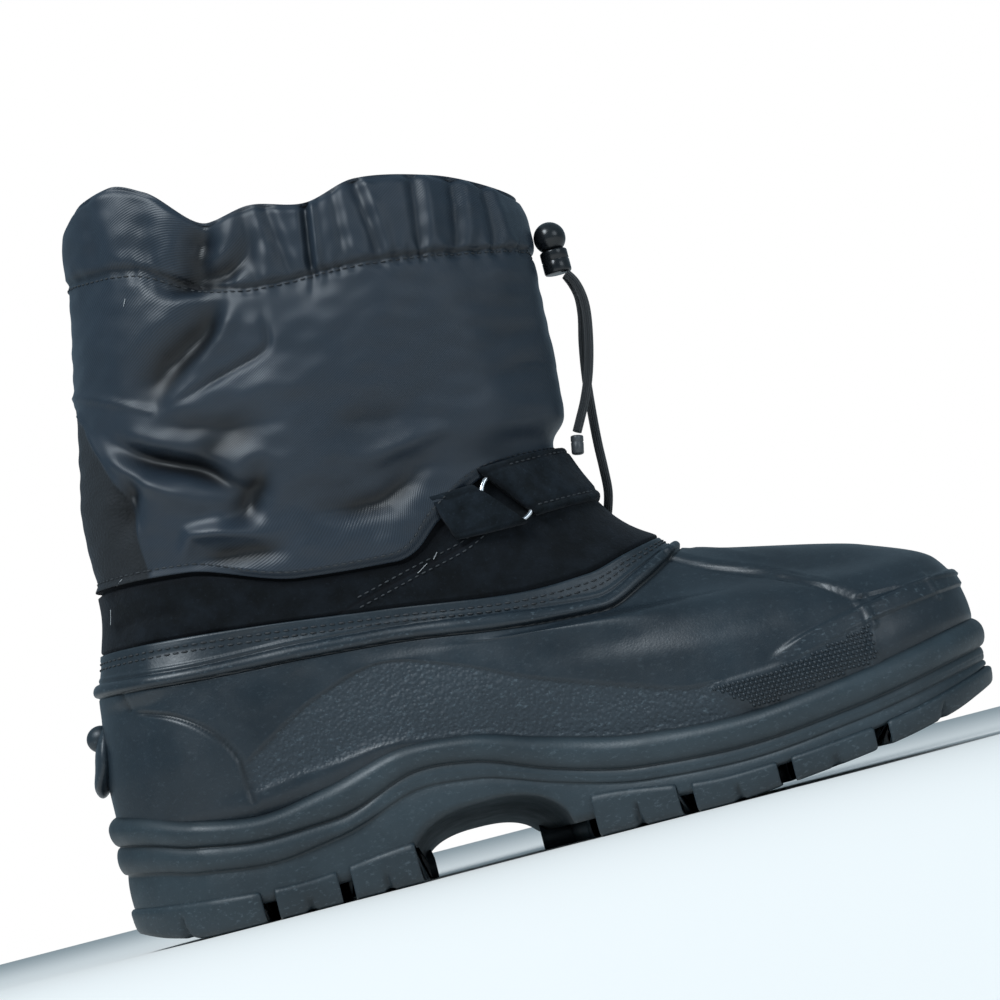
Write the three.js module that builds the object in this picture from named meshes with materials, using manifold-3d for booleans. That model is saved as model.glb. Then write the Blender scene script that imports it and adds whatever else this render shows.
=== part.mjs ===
// Insulated snow boot for the left foot: a moulded rubber shell on a lugged outsole, a soft
// upper with a drawcord collar, and an instep strap that pulls on a metal ring.
// Millimetres, +Z up, +X towards the toe, +Y towards the outer (lateral) side of the foot.
import * as THREE from "three";
import { mergeVertices } from "three/addons/utils/BufferGeometryUtils.js";
import Module from "manifold-3d";

const wasm = await Module();
wasm.setup();

// ---------------------------------------------------------------- driving dimensions
const SOLE_LENGTH = 302; // heel bead to toe bumper; x is measured from the heel end
const SIDE_SHIFT = -0.6; // brings the middle of the footprint onto y = 0
const FIT_GAP = 0.3; // left between pieces that meet
const SHELL_WALL = 3.0;
const FLANGE_WALL = 1.4; // the shell's stitched lip above its rim bead
const FABRIC_WALL = 2.8; // face fabric, foam and lining together
const LAP_WALL = 1.2; // the ankle band where the shaft laps over it
const INSOLE_THICK = 4.5;
const LUG_DEPTH = 6.5;
const LUG_SIDE_HEIGHT = 13; // how far the edge lugs climb the side of the sole
const LUG_PROUD = 1.0;
const STRAP_HALF_WIDTH = 9.5;
const STRAP_THICK = 2.4;
const STRAP_AT_RING = 5.0; // two layers folded round the wire
const RING_RADIUS = 9.4; // to the middle of the wire
const RING_WIRE = 1.8; // wire diameter
const CORD_DIAMETER = 3.2;
const TIP_DIAMETER = 4.4;
const LOCK_BALL = 11.2; // diameter of the cord lock's push button
const LOCK_BARREL = 9.6;
const AROUND = 48; // facets round the foot

// ---------------------------------------------------------------- smooth curves
// A monotone cubic through points [x, y], level beyond its ends.
function through(points) {
  const n = points.length;
  const slope = points.slice(1).map(([x, y], i) => (y - points[i][1]) / (x - points[i][0]));
  const tangent = points.map((_, i) => {
    if (i === 0 || i === n - 1) return slope[i === 0 ? 0 : n - 2];
    const [before, after] = [slope[i - 1], slope[i]];
    return before * after <= 0 ? 0 : (2 * before * after) / (before + after);
  });
  return (x) => {
    if (x <= points[0][0]) return points[0][1];
    if (x >= points[n - 1][0]) return points[n - 1][1];
    let i = 0;
    while (x > points[i + 1][0]) i += 1;
    const width = points[i + 1][0] - points[i][0];
    const t = (x - points[i][0]) / width;
    const from = points[i][1] * (1 + 2 * t) * (1 - t) ** 2 + width * tangent[i] * t * (1 - t) ** 2;
    const to = points[i + 1][1] * t * t * (3 - 2 * t) - width * tangent[i + 1] * t * t * (1 - t);
    return from + to;
  };
}

// ---------------------------------------------------------------- the last
// Each row is one closed line round the boot. side: its side view, [x, z] from heel to front.
// wide: half widths at 10, 30, 50, 70 and 90 % of the row's own length. lean: how far the row's
// points gather towards the heel, so that they stand under the points of the shorter rows above.
const ROWS = [
  { name: "floor", lean: 0.45, side: [[6, 27], [77, 27], [140, 25], [215, 14], [265, 17], [291, 25]],
    wide: [33, 35, 38, 48, 38] },
  { name: "cup", lean: 0.45, side: [[1.5, 42], [150, 38], [220, 34], [299, 42]],
    wide: [37, 38.5, 42, 51.5, 41.5] },
  { name: "bulge", lean: 0.45, side: [[1.5, 56], [150, 54], [220, 50], [298, 51]],
    wide: [37.5, 39, 42.5, 50, 38.5] },
  { name: "side", lean: 0.42, side: [[3, 70], [80, 67], [150, 63], [215, 60], [292.5, 62]],
    wide: [36.5, 38.5, 41.5, 46, 33] },
  { name: "vamp", lean: 0.35,
    side: [[4.5, 80], [71, 75.5], [138, 71], [205, 68.5], [245, 68.5], [270, 73]],
    wide: [35, 38, 40, 42, 26] },
  { name: "rim", lean: 0,
    side: [[5.5, 88], [57, 83], [108, 78], [160, 72], [180, 72.4], [196, 79], [211, 88]],
    wide: [33, 37.5, 38, 39, 26.5] },
  { name: "flange", lean: 0,
    side: [[9.5, 101.5], [57, 97], [108, 91], [160, 85], [178, 86], [192, 90], [205, 93.5]],
    wide: [29.5, 36, 36.5, 36.5, 24] },
  { name: "band", lean: 0, side: [[13, 117], [60, 113], [105, 108], [150, 104], [191, 105]],
    wide: [27.5, 36.5, 38.5, 36, 22.5] },
  { name: "ankle", lean: 0, side: [[13.5, 136], [100, 131], [178.8, 132.5]],
    wide: [28.5, 39.5, 42, 38.5, 23] },
  { name: "puff", lean: 0, side: [[14.3, 149], [100, 144], [185, 143]],
    wide: [30, 43, 46, 42.5, 27.5] },
  { name: "calf", lean: 0, side: [[17.2, 166], [186.5, 160]],
    wide: [30.5, 44, 47, 44, 28.5] },
  { name: "mid", lean: 0, side: [[22, 191], [188.8, 185]],
    wide: [31, 45, 48.5, 46, 30.5] },
  { name: "casing", lean: 0,
    side: [[29, 232], [54, 227], [80, 212], [95, 208], [131, 207], [188.4, 201.5]],
    wide: [30.5, 43.5, 47, 45, 30] },
  { name: "collar", lean: 0,
    side: [[31.5, 245], [42, 251.5], [53, 252.5], [65, 247], [84, 230.5], [98, 232.5], [117, 228.5],
      [135, 232.5], [160, 229], [188, 219.5]],
    wide: [29, 42, 45.5, 43.5, 28] },
];
const LEVEL = Object.fromEntries(ROWS.map(({ name }, i) => [name, i]));
const WIDE_AT = [0.1, 0.3, 0.5, 0.7, 0.9];
const FRONT = Math.PI;

// The foot's own curve seen from above: a left foot bows outwards at the waist and in at the toe.
const axisY = through([[0, 0], [120, 3.4], [200, 2.2], [255, -3.5], [302, -11]]);

// A row as a function of the angle round the foot: how far along, half width and height.
const CURVES = ROWS.map(({ lean, side, wide }) => {
  const back = side[0][0];
  const front = side.at(-1)[0];
  const height = through(side);
  const ends = (u) => 2 * Math.sqrt(Math.max(0, u * (1 - u)));
  const fullness = through(WIDE_AT.map((u, i) => [u, wide[i] / ends(u)]));
  return (angle) => {
    const f = (1 - Math.cos(angle)) / 2;
    const u = f - lean * f * (1 - f);
    const x = back + (front - back) * u;
    return [x, fullness(u) * ends(u) * Math.sign(Math.sin(angle)), height(x)];
  };
});

// A point of the last. level counts rows, angle runs from the heel over the inner side to the front.
function lastPoint(level, angle) {
  const low = Math.max(0, Math.min(ROWS.length - 4, Math.floor(level) - 1));
  const near = [low, low + 1, low + 2, low + 3];
  const values = near.map((i) => CURVES[i](angle));
  const [x, half, z] = [0, 1, 2].map((k) => through(near.map((i, j) => [i, values[j][k]]))(level));
  return new THREE.Vector3(x, axisY(x) - half, z);
}

function lastNormal(level, angle) {
  const [da, dl] = [0.01, 0.02];
  const top = ROWS.length - 1;
  const along = lastPoint(level, angle + da).sub(lastPoint(level, angle - da));
  const up = lastPoint(Math.min(top, level + dl), angle).sub(lastPoint(Math.max(0, level - dl), angle));
  return along.cross(up).normalize();
}

// The last grown outwards by offset.
function skin(level, angle, offset) {
  return lastPoint(level, angle).addScaledVector(lastNormal(level, angle), offset);
}

// ---------------------------------------------------------------- solids from grids
// Corners of a grid of points become one closed mesh. outer and inner are grids of the same size,
// rows of points; a closed grid joins its last column to its first.
function wallGeometry(outer, inner, closed) {
  const [rows, cols] = [outer.length, outer[0].length];
  const position = [...outer.flat(), ...inner.flat()].flatMap((p) => [p.x, p.y, p.z]);
  const outside = (r, c) => r * cols + (c % cols);
  const inside = (r, c) => rows * cols + outside(r, c);
  const index = [];
  const quad = (a, b, c, d) => index.push(a, b, c, a, c, d);
  const spans = closed ? cols : cols - 1;
  for (let c = 0; c < spans; c += 1) {
    for (let r = 0; r < rows - 1; r += 1) {
      quad(outside(r, c), outside(r, c + 1), outside(r + 1, c + 1), outside(r + 1, c));
      quad(inside(r, c), inside(r + 1, c), inside(r + 1, c + 1), inside(r, c + 1));
    }
    quad(inside(0, c), inside(0, c + 1), outside(0, c + 1), outside(0, c));
    quad(outside(rows - 1, c), outside(rows - 1, c + 1), inside(rows - 1, c + 1), inside(rows - 1, c));
  }
  for (let r = 0; r < rows - 1 && !closed; r += 1) {
    quad(outside(r, 0), outside(r + 1, 0), inside(r + 1, 0), inside(r, 0));
    quad(outside(r, cols - 1), inside(r, cols - 1), inside(r + 1, cols - 1), outside(r + 1, cols - 1));
  }
  const geometry = new THREE.BufferGeometry();
  geometry.setAttribute("position", new THREE.Float32BufferAttribute(position, 3));
  geometry.setIndex(index);
  return geometry;
}

// A hollow wall of the last. Each station is [level, outer offset, inner offset]; the level is a
// number or a function of the angle.
function hollowWall(stations) {
  const grid = (pick) => stations.map((s) => ANGLES.map((a) => skin(levelAt(s[0], a), a, s[pick])));
  return wallGeometry(grid(1), grid(2), true);
}

// A patch lying on the last. from and to give its ends as angles for a row fraction, low and high
// its edges as levels for an angle, outer and inner its faces as offsets for an angle.
function patch({ from, to, columns, rows, low, high, outer, inner }) {
  const grid = (offset) => Array.from({ length: rows + 1 }, (_, r) =>
    Array.from({ length: columns + 1 }, (_, c) => {
      const angle = from(r / rows) + ((to(r / rows) - from(r / rows)) * c) / columns;
      return skin(low(angle) + ((high(angle) - low(angle)) * r) / rows, angle, offset(angle));
    }));
  return toSolid(wallGeometry(grid(outer), grid(inner), false));
}

// Stacked closed rings, capped at both ends; the caps join each inner point to its outer twin.
function ringStack(rings) {
  const count = rings[0].length;
  const position = rings.flat().flatMap((p) => [p.x, p.y, p.z]);
  const at = (r, c) => r * count + (c % count);
  const index = [];
  for (let r = 0; r < rings.length - 1; r += 1) {
    for (let c = 0; c < count; c += 1) {
      index.push(at(r, c), at(r, c + 1), at(r + 1, c + 1), at(r, c), at(r + 1, c + 1), at(r + 1, c));
    }
  }
  const last = rings.length - 1;
  for (let c = 0; c < count / 2; c += 1) {
    const [a, b] = [c, c + 1];
    const [across, acrossNext] = [(count - c) % count, count - c - 1];
    index.push(at(0, b), at(0, a), at(0, across), at(0, b), at(0, across), at(0, acrossNext));
    index.push(at(last, a), at(last, b), at(last, across));
    index.push(at(last, b), at(last, acrossNext), at(last, across));
  }
  const geometry = new THREE.BufferGeometry();
  geometry.setAttribute("position", new THREE.Float32BufferAttribute(position, 3));
  geometry.setIndex(index.filter((_, i) => {
    const first = i - (i % 3);
    return new Set(index.slice(first, first + 3)).size === 3;
  }));
  return geometry;
}

// ---------------------------------------------------------------- joining and cutting
function toSolid(geometry) {
  const bare = geometry.clone();
  bare.deleteAttribute("normal");
  bare.deleteAttribute("uv");
  const merged = mergeVertices(bare, 1e-3);
  return new wasm.Manifold(new wasm.Mesh({
    numProp: 3,
    vertProperties: new Float32Array(merged.attributes.position.array),
    triVerts: new Uint32Array(merged.index.array),
  }));
}

function toGeometry(solid) {
  const mesh = solid.getMesh();
  const geometry = new THREE.BufferGeometry();
  geometry.setAttribute("position", new THREE.Float32BufferAttribute(mesh.vertProperties, 3));
  geometry.setIndex(new THREE.BufferAttribute(mesh.triVerts, 1));
  return geometry;
}

const ANGLES = Array.from({ length: AROUND }, (_, i) => (2 * Math.PI * i) / AROUND);
const levelAt = (level, angle) => (typeof level === "number" ? level : level(angle));

// The last itself between given levels, grown by offset, as a solid to cut with.
function plug(levels, offset) {
  return toSolid(ringStack(levels.map((level) => ANGLES.map((a) => skin(levelAt(level, a), a, offset)))));
}

// ---------------------------------------------------------------- the sole's lines
// Side views of the sole, z at x: its ground line, its two beads and the edge that meets the shell.
const groundLine = through([[0, 7], [14, 2.5], [30, 0], [200, 0], [222, 1.6], [260, 6], [282, 10.5], [302, 18]]);
const lowerBead = through([[0, 33], [31, 29], [61, 25], [81, 28], [111, 38.5], [119, 38.5], [146, 29.5],
  [171, 22.5], [211, 19.5], [250, 24], [302, 32]]);
const beadCrease = through([[0, 38], [31, 32.6], [61, 29.5], [81, 33], [106, 41], [117, 42], [131, 38], [161, 25.5],
  [201, 21.5], [250, 27], [302, 36]]);
const upperBead = through([[0, 43], [31, 38], [61, 35.5], [86, 40.5], [112, 45.5], [126, 44], [156, 34],
  [191, 27.5], [211, 26.5], [246, 30], [302, 39]]);
const featherLine = through([[0, 48], [45, 44], [91, 49], [117, 48.5], [141, 43], [156, 38.2], [181, 33], [211, 30.8],
  [246, 34.2], [302, 41.5]]);

// The sole's outline in plan, grown by offset from the row that the shell's foot has.
function solePoint(angle, offset, height) {
  const base = lastPoint(LEVEL.cup, angle);
  const ahead = lastPoint(LEVEL.cup, angle + 0.01).sub(lastPoint(LEVEL.cup, angle - 0.01));
  const out = new THREE.Vector3(ahead.y, -ahead.x, 0).normalize();
  const point = base.addScaledVector(out, offset);
  return point.setZ(height(point.x));
}

function soleRing(offset, height) {
  return ANGLES.map((a) => solePoint(a, offset, height));
}

// ---------------------------------------------------------------- outsole
const lugFloor = (x) => groundLine(x) + LUG_DEPTH;

function soleBody() {
  return toSolid(ringStack([
    soleRing(-3.5, lugFloor),
    soleRing(-1.0, (x) => lugFloor(x) + 5),
    soleRing(0.5, (x) => lowerBead(x) - 4.5),
    soleRing(2.6, lowerBead),
    soleRing(1.2, beadCrease),
    soleRing(3.2, upperBead),
    soleRing(0.9, featherLine),
  ]));
}

// The hollow that the shell stands in, down to the sole's floor.
function soleCavity() {
  const lowered = plug([0, 1, 2], FIT_GAP).translate([0, 0, -FIT_GAP]);
  return plug([0, 1, 2], FIT_GAP).add(lowered);
}

// The tunnel under the waist: high on the inner side, low and shorter on the outer side.
function archTunnel() {
  const inner = { y: -70, back: 97, front: 158, top: 23.5 };
  const outer = { y: 70, back: 97, front: 137, top: 11 };
  const steps = 14;
  const profile = ({ y, back, front, top }) => [
    ...Array.from({ length: steps + 1 }, (_, i) => {
      const a = Math.PI - (Math.PI * i) / steps;
      const middle = (back + front) / 2;
      const round = Math.sign(Math.cos(a)) * Math.abs(Math.cos(a)) ** 0.8;
      return new THREE.Vector3(middle + ((front - back) / 2) * round, y, top * Math.sin(a) ** 0.8);
    }),
    new THREE.Vector3(front, y, -5),
    new THREE.Vector3(back, y, -5),
  ];
  const [near, far] = [profile(inner), profile(outer)];
  const count = near.length;
  const index = [];
  for (let i = 0; i < count; i += 1) {
    const j = (i + 1) % count;
    index.push(i, count + j, count + i, i, j, count + j);
  }
  for (let i = 1; i < count - 1; i += 1) {
    index.push(0, i + 1, i);
    index.push(count, count + i, count + i + 1);
  }
  const geometry = new THREE.BufferGeometry();
  geometry.setAttribute("position", new THREE.Float32BufferAttribute(
    [...near, ...far].flatMap((p) => [p.x, p.y, p.z]), 3));
  geometry.setIndex(index);
  return toSolid(geometry);
}

// Lugs follow one another from the back of each row, a gap apart. from and to: the lug's ends on the
// inner side; skew: how far the outer side's sit behind.
const LUG_ROWS = [
  { start: 14, gap: 4.5, lengths: [33, 21, 23], skews: [0, 0, 0] },
  { start: 160, gap: 5, lengths: [28, 28, 28, 47], skews: [20, 18, 12, 8] },
];
const LUGS = LUG_ROWS.flatMap(({ start, gap, lengths, skews }) => {
  let from = start;
  return lengths.map((length, i) => {
    const lug = { from, to: from + length, skew: skews[i] };
    from = lug.to + gap;
    return lug;
  });
});
const EDGE_LUG_WIDTH = 21; // from the sole's edge towards its middle
const CENTRE_LUG_HALF = 17;
const TREAD_GAP = 5;

// A block between two x planes that lean with the skew, from the ground line up to top(x).
function lugBlock(from, to, skew, yLow, yHigh, top) {
  const reach = 60;
  const back = (y) => from - (skew * (y + reach)) / (2 * reach);
  const front = (y) => to - (skew * (y + reach)) / (2 * reach);
  const geometry = new THREE.BoxGeometry(1, 1, 1, 4, 1, 1);
  const position = geometry.attributes.position;
  for (let i = 0; i < position.count; i += 1) {
    const y = position.getY(i) < 0 ? yLow : yHigh;
    const x = back(y) + (front(y) - back(y)) * (position.getX(i) + 0.5);
    position.setXYZ(i, x, y, position.getZ(i) < 0 ? groundLine(x) : top(x));
  }
  return toSolid(geometry);
}

function soleColumn(offset, low, high) {
  const outline = soleRing(offset, () => 0);
  return toSolid(ringStack([low, high].map((z) => outline.map((p) => p.clone().setZ(z)))));
}

function edgeLugs() {
  const high = (x) => groundLine(x) + LUG_SIDE_HEIGHT;
  const band = soleColumn(LUG_PROUD, -3, 40).subtract(soleColumn(-EDGE_LUG_WIDTH, -4, 41));
  return LUGS.map(({ from, to, skew }) => lugBlock(from, to, skew, -70, 70, high).intersect(band));
}

function centreLugs() {
  const inside = soleColumn(-(EDGE_LUG_WIDTH + TREAD_GAP), -3, 41);
  const top = (x) => lugFloor(x) + 1;
  const [low, high] = [2 - CENTRE_LUG_HALF, 2 + CENTRE_LUG_HALF];
  return LUGS.map(({ from, to, skew }) =>
    lugBlock(from + TREAD_GAP, to - TREAD_GAP, skew, low, high, top).intersect(inside));
}

// The first lug stands behind the others, wraps the heel's end and stops lower on its side.
function heelEndLug() {
  const top = (x) => groundLine(x) + LUG_SIDE_HEIGHT - 4;
  return lugBlock(-4, 14.5, 0, -70, 70, top).intersect(soleColumn(LUG_PROUD, -3, 40));
}

function outsoleGeometry() {
  let sole = soleBody();
  for (const lug of [heelEndLug(), ...edgeLugs(), ...centreLugs()]) {
    if (lug.volume() > 1) sole = sole.add(lug);
  }
  return toGeometry(sole.subtract(archTunnel()).subtract(soleCavity()));
}

// ---------------------------------------------------------------- shell
// The boss on the heel for pushing the boot off with the other foot: a plate that stands out at
// its lower lip, and a round knob.
function heelBoss() {
  const plate = new THREE.SphereGeometry(1, 14, 8);
  plate.scale(4.2, 11, 12.5).rotateY(0.24).translate(2.5, 0, 66.5);
  const knob = new THREE.SphereGeometry(1, 12, 8);
  knob.scale(5.2, 5.2, 5).translate(2.6, 0, 75);
  return toSolid(plate).add(toSolid(knob));
}

function shellGeometry() {
  const sides = [0, 1, 2, 2.5, 3, 3.5, 4, 4.33, 4.67, 5].map((level) => [level, 0, -SHELL_WALL]);
  const wall = toSolid(hollowWall([
    ...sides,
    [5.12, 1.6, -SHELL_WALL],
    [5.35, 1.6, -SHELL_WALL],
    [5.5, 0.2, -FLANGE_WALL],
    [6, 0, -FLANGE_WALL],
  ]));
  return toGeometry(wall.add(heelBoss().subtract(plug([0, 1, 2, 3, 4, 5, 5.35], -SHELL_WALL))));
}

// ---------------------------------------------------------------- ankle band and shaft
// The seam between the two, as a level: low along the sides, rising to the front over the strap.
const seamShare = through([[0, 7.55], [0.2, 7.5], [0.4, 7.1], [0.58, 7.15], [0.7, 7.6], [0.85, 8], [1, 8.1]]);
const seam = (angle) => seamShare((1 - Math.cos(angle)) / 2);
const SEAM_LAP = 0.26; // levels that the shaft laps down over the band
const SEAM_LIFT = 0.04; // levels left between the two where the lap ends

const bandPart = (share) => (a) => 6.1 + (seam(a) - SEAM_LAP - 6.1) * share;
const shaftPart = (share) => (a) => seam(a) + SEAM_LIFT + (10 - seam(a) - SEAM_LIFT) * share;
const shaftHem = (a) => seam(a) - SEAM_LAP + SEAM_LIFT;
const lapEnd = (a) => seam(a) + SEAM_LIFT / 2;

function ankleBandGeometry() {
  const tuck = -FLANGE_WALL - 1.5 * FIT_GAP;
  const under = LAP_WALL - FABRIC_WALL;
  return hollowWall([
    [5.6, tuck, tuck - FABRIC_WALL],
    [5.98, tuck, tuck - FABRIC_WALL],
    [6.1, 0, -FABRIC_WALL],
    [bandPart(0.5), 0, -FABRIC_WALL],
    [bandPart(0.97), 0, -FABRIC_WALL],
    [bandPart(1), under, -FABRIC_WALL],
    [seam, under, -FABRIC_WALL],
  ]);
}

function shaftGeometry() {
  const lap = LAP_WALL - FABRIC_WALL + FIT_GAP;
  return hollowWall([
    [shaftHem, 0, lap],
    [lapEnd, 0, lap],
    [shaftPart(0), 0, -FABRIC_WALL],
    [shaftPart(0.33), 0, -FABRIC_WALL],
    [shaftPart(0.66), 0, -FABRIC_WALL],
    [10, 0, -FABRIC_WALL],
    [11, 0, -FABRIC_WALL],
    [12, 0, -FABRIC_WALL],
    [12.5, 0.6, -FABRIC_WALL],
    [13, 0, -FABRIC_WALL],
  ]);
}

// ---------------------------------------------------------------- insole
function insoleGeometry() {
  const inset = -SHELL_WALL - FIT_GAP - 0.4;
  const ring = (lift) => ANGLES.map((a) => {
    const p = skin(0.05, a, inset);
    return p.setZ(p.z + lift);
  });
  return ringStack([ring(1), ring(1 + INSOLE_THICK)]);
}

// ---------------------------------------------------------------- strap, tab and ring
const RING_AT = { level: 7.46, angle: 2.33, offset: 2.1 };
const RING_SIDE = 0.3; // radians from the ring's middle to where the strap is thin again

// A torus lying on the inner side of the ankle, its wire of the given diameter.
function ringTorus(wire) {
  const { level, angle, offset } = RING_AT;
  const out = lastNormal(level, angle);
  const along = lastPoint(level, angle + 0.15).sub(lastPoint(level, angle - 0.15));
  along.addScaledVector(out, -along.dot(out)).normalize();
  const up = out.clone().cross(along);
  const pose = new THREE.Matrix4().makeBasis(along, up, out).setPosition(skin(level, angle, offset));
  return new THREE.TorusGeometry(RING_RADIUS, wire / 2, 6, 24).applyMatrix4(pose);
}

const strapMiddle = through([[2.2, 7.5], [2.7, 7.58], [FRONT, 7.6], [3.7, 7.5], [4.3, 7.25]]);
const LEVEL_HEIGHT = 27; // millimetres from one row to the next where the strap lies
const strapThick = (angle) =>
  STRAP_THICK + (STRAP_AT_RING - STRAP_THICK) * Math.max(0, 1 - Math.abs(angle - RING_AT.angle) / RING_SIDE);

// A strip of webbing on the ankle, cut clear of the ring's wire and of the leg beneath it.
function strip(shape) {
  const cloth = patch({ ...shape, rows: 2, outer: (a) => FIT_GAP + strapThick(a), inner: () => -1 });
  const leg = plug([6.1, bandPart(0.5), bandPart(0.97), shaftHem, lapEnd, shaftPart(0), shaftPart(0.33)], FIT_GAP);
  const wire = toSolid(ringTorus(RING_WIRE + 2 * FIT_GAP));
  return toGeometry(cloth.subtract(leg).subtract(wire));
}

function strapGeometry() {
  const half = STRAP_HALF_WIDTH / LEVEL_HEIGHT;
  return strip({
    from: (r) => 2.4 - 0.14 * r,
    to: () => 4.3,
    columns: 14,
    low: (a) => strapMiddle(a) - half,
    high: (a) => strapMiddle(a) + half,
  });
}

function tabGeometry() {
  return strip({
    from: () => 2,
    to: (r) => 2.32 - 0.12 * r,
    columns: 5,
    low: () => 7.12,
    high: () => 7.68,
  });
}

// ---------------------------------------------------------------- drawcord
const FRONT_Y = axisY(188);

function tube(points, diameter, steps) {
  const shape = new THREE.Shape();
  shape.absarc(0, 0, diameter / 2, 0, 2 * Math.PI);
  const path = new THREE.CatmullRomCurve3(points.map(([x, y, z]) => new THREE.Vector3(x, FRONT_Y + y, z)));
  return new THREE.ExtrudeGeometry(shape, { steps, extrudePath: path, curveSegments: 4, bevelEnabled: false });
}

const LONG_CORD = [[197.2, 1.8, 190.6], [198.6, 1.9, 187.2], [199.6, 2, 182.6], [199.2, 2, 176],
  [197, 2.2, 166], [195.2, 2.6, 155], [194, 3, 143], [193.2, 3.5, 131], [193, 4.8, 122],
  [192.6, 8, 114.5], [190.8, 12.5, 108], [188.6, 17, 102.8]];
const SHORT_CORD = [[197.4, -1.8, 190.6], [199.4, -1.9, 187.2], [200.6, -2, 182.6], [200.8, -2.1, 177],
  [199, -2.6, 166], [196, -3.2, 155], [192.4, -4, 146], [189, -4.8, 139.5], [187, -5.2, 135.8]];
const LONG_TIP = [[188.48, 17.25, 102.5], [186.6, 21.2, 98]];
const SHORT_TIP = [[186.6, -5.3, 134.6], [185.3, -5.6, 128]];

// The lock's barrel and its ball sit one on the other at the front of the collar casing.
const LOCK = { x: 194.9, z: 191.5, barrelHeight: 8.2 };

function barrelGeometry() {
  const [r, h] = [LOCK_BARREL / 2, LOCK.barrelHeight];
  const profile = [[0, 0], [r - 0.8, 0], [r, 0.8], [r, h - 0.6], [r - 1.1, h], [r - 1.1, h - 2.6], [0, h - 2.6]];
  const barrel = new THREE.LatheGeometry(profile.map(([x, y]) => new THREE.Vector2(x, y)), 18);
  return barrel.rotateX(Math.PI / 2).translate(LOCK.x, FRONT_Y, LOCK.z);
}

function buttonGeometry() {
  const ball = new THREE.SphereGeometry(LOCK_BALL / 2, 14, 9);
  ball.translate(LOCK.x, FRONT_Y, LOCK.z + LOCK.barrelHeight + 4.6);
  return ball;
}

// ---------------------------------------------------------------- the boot
const material = (color, roughness, metalness = 0) =>
  new THREE.MeshStandardMaterial({ color, roughness, metalness });
const MATERIALS = {
  rubber: material(0x1b2026, 0.55),
  suede: material(0x24272c, 0.9),
  nylon: material(0x141a24, 0.45),
  footbed: material(0x2a2b2d, 0.95),
  steel: material(0xb9bcc0, 0.3, 1),
  plastic: material(0x101317, 0.25),
  cord: material(0x16191e, 0.7),
  tip: material(0x4b5056, 0.4),
};

function piece(name, geometry, finish) {
  const mesh = new THREE.Mesh(geometry, finish);
  mesh.name = name;
  return mesh;
}

const boot = new THREE.Group();
boot.add(
  piece("outsole", outsoleGeometry(), MATERIALS.rubber),
  piece("shell", shellGeometry(), MATERIALS.rubber),
  piece("insole", insoleGeometry(), MATERIALS.footbed),
  piece("ankle_band", ankleBandGeometry(), MATERIALS.suede),
  piece("shaft", shaftGeometry(), MATERIALS.nylon),
  piece("instep_strap", strapGeometry(), MATERIALS.suede),
  piece("ring_tab", tabGeometry(), MATERIALS.suede),
  piece("strap_ring", ringTorus(RING_WIRE), MATERIALS.steel),
  piece("lock_barrel", barrelGeometry(), MATERIALS.plastic),
  piece("lock_button", buttonGeometry(), MATERIALS.plastic),
  piece("long_cord", tube(LONG_CORD, CORD_DIAMETER, 20), MATERIALS.cord),
  piece("short_cord", tube(SHORT_CORD, CORD_DIAMETER, 16), MATERIALS.cord),
  piece("long_cord_tip", tube(LONG_TIP, TIP_DIAMETER, 2), MATERIALS.tip),
  piece("short_cord_tip", tube(SHORT_TIP, TIP_DIAMETER, 2), MATERIALS.tip),
);
boot.position.set(-SOLE_LENGTH / 2, SIDE_SHIFT, 0);

export default boot;
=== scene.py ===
# %% [markdown]
# # A snow boot, built piece by piece
# This lesson dresses a plain CAD boot: a rubber sole and shell, a suede-like ankle band, a nylon
# leg with a drawcord collar, a strap with its ring, and the cords. The CAD model gives every size,
# so it is loaded first.

import math

import bpy
import numpy as np
from mathutils import Matrix, Vector


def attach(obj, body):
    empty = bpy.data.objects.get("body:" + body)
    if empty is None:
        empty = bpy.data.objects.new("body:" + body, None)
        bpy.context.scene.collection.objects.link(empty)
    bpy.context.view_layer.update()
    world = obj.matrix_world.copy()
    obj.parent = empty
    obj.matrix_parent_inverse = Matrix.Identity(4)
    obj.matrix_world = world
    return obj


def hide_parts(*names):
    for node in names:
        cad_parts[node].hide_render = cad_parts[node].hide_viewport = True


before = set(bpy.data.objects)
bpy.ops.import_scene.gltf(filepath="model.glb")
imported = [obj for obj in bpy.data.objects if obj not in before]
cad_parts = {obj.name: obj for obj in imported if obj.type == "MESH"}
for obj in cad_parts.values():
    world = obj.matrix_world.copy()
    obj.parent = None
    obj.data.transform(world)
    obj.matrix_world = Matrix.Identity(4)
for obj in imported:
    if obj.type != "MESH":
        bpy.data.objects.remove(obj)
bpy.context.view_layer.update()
HEEL_TO_MIDDLE = 151.0  # the lesson's own x runs from the heel end, in millimetres
SIDE_SHIFT = -0.6
print("CAD nodes:", sorted(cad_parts))

# %% [markdown]
# ## The camera
# The boot is seen square on from its inner side, from just above the floor, so the camera looks a
# little upwards. It is turned on its own axis, which lifts the toe end of the boot in its view.

# %% Camera
AIM = Vector((0.0045, 0.0, 0.120))
EYE = Vector((0.0045, -1.100, 0.012))
ROLL = math.radians(14.5)


def add_camera(eye, aim, roll, lens):
    forward = (aim - eye).normalized()
    side = forward.cross(Vector((0, 0, 1))).normalized()
    up = side.cross(forward)
    right = side * math.cos(roll) - up * math.sin(roll)
    above = right.cross(forward)
    data = bpy.data.cameras.new("camera")
    data.lens = lens
    data.clip_end = 20
    camera = bpy.data.objects.new("camera", data)
    camera.matrix_world = Matrix(
        [(right[i], above[i], -forward[i], eye[i]) for i in range(3)] + [(0, 0, 0, 1)])
    bpy.context.scene.collection.objects.link(camera)
    bpy.context.scene.camera = camera
    return camera


camera = add_camera(EYE, AIM, ROLL, lens=115.6)
print("camera", round((AIM - EYE).length, 3), "m from the boot")

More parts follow.
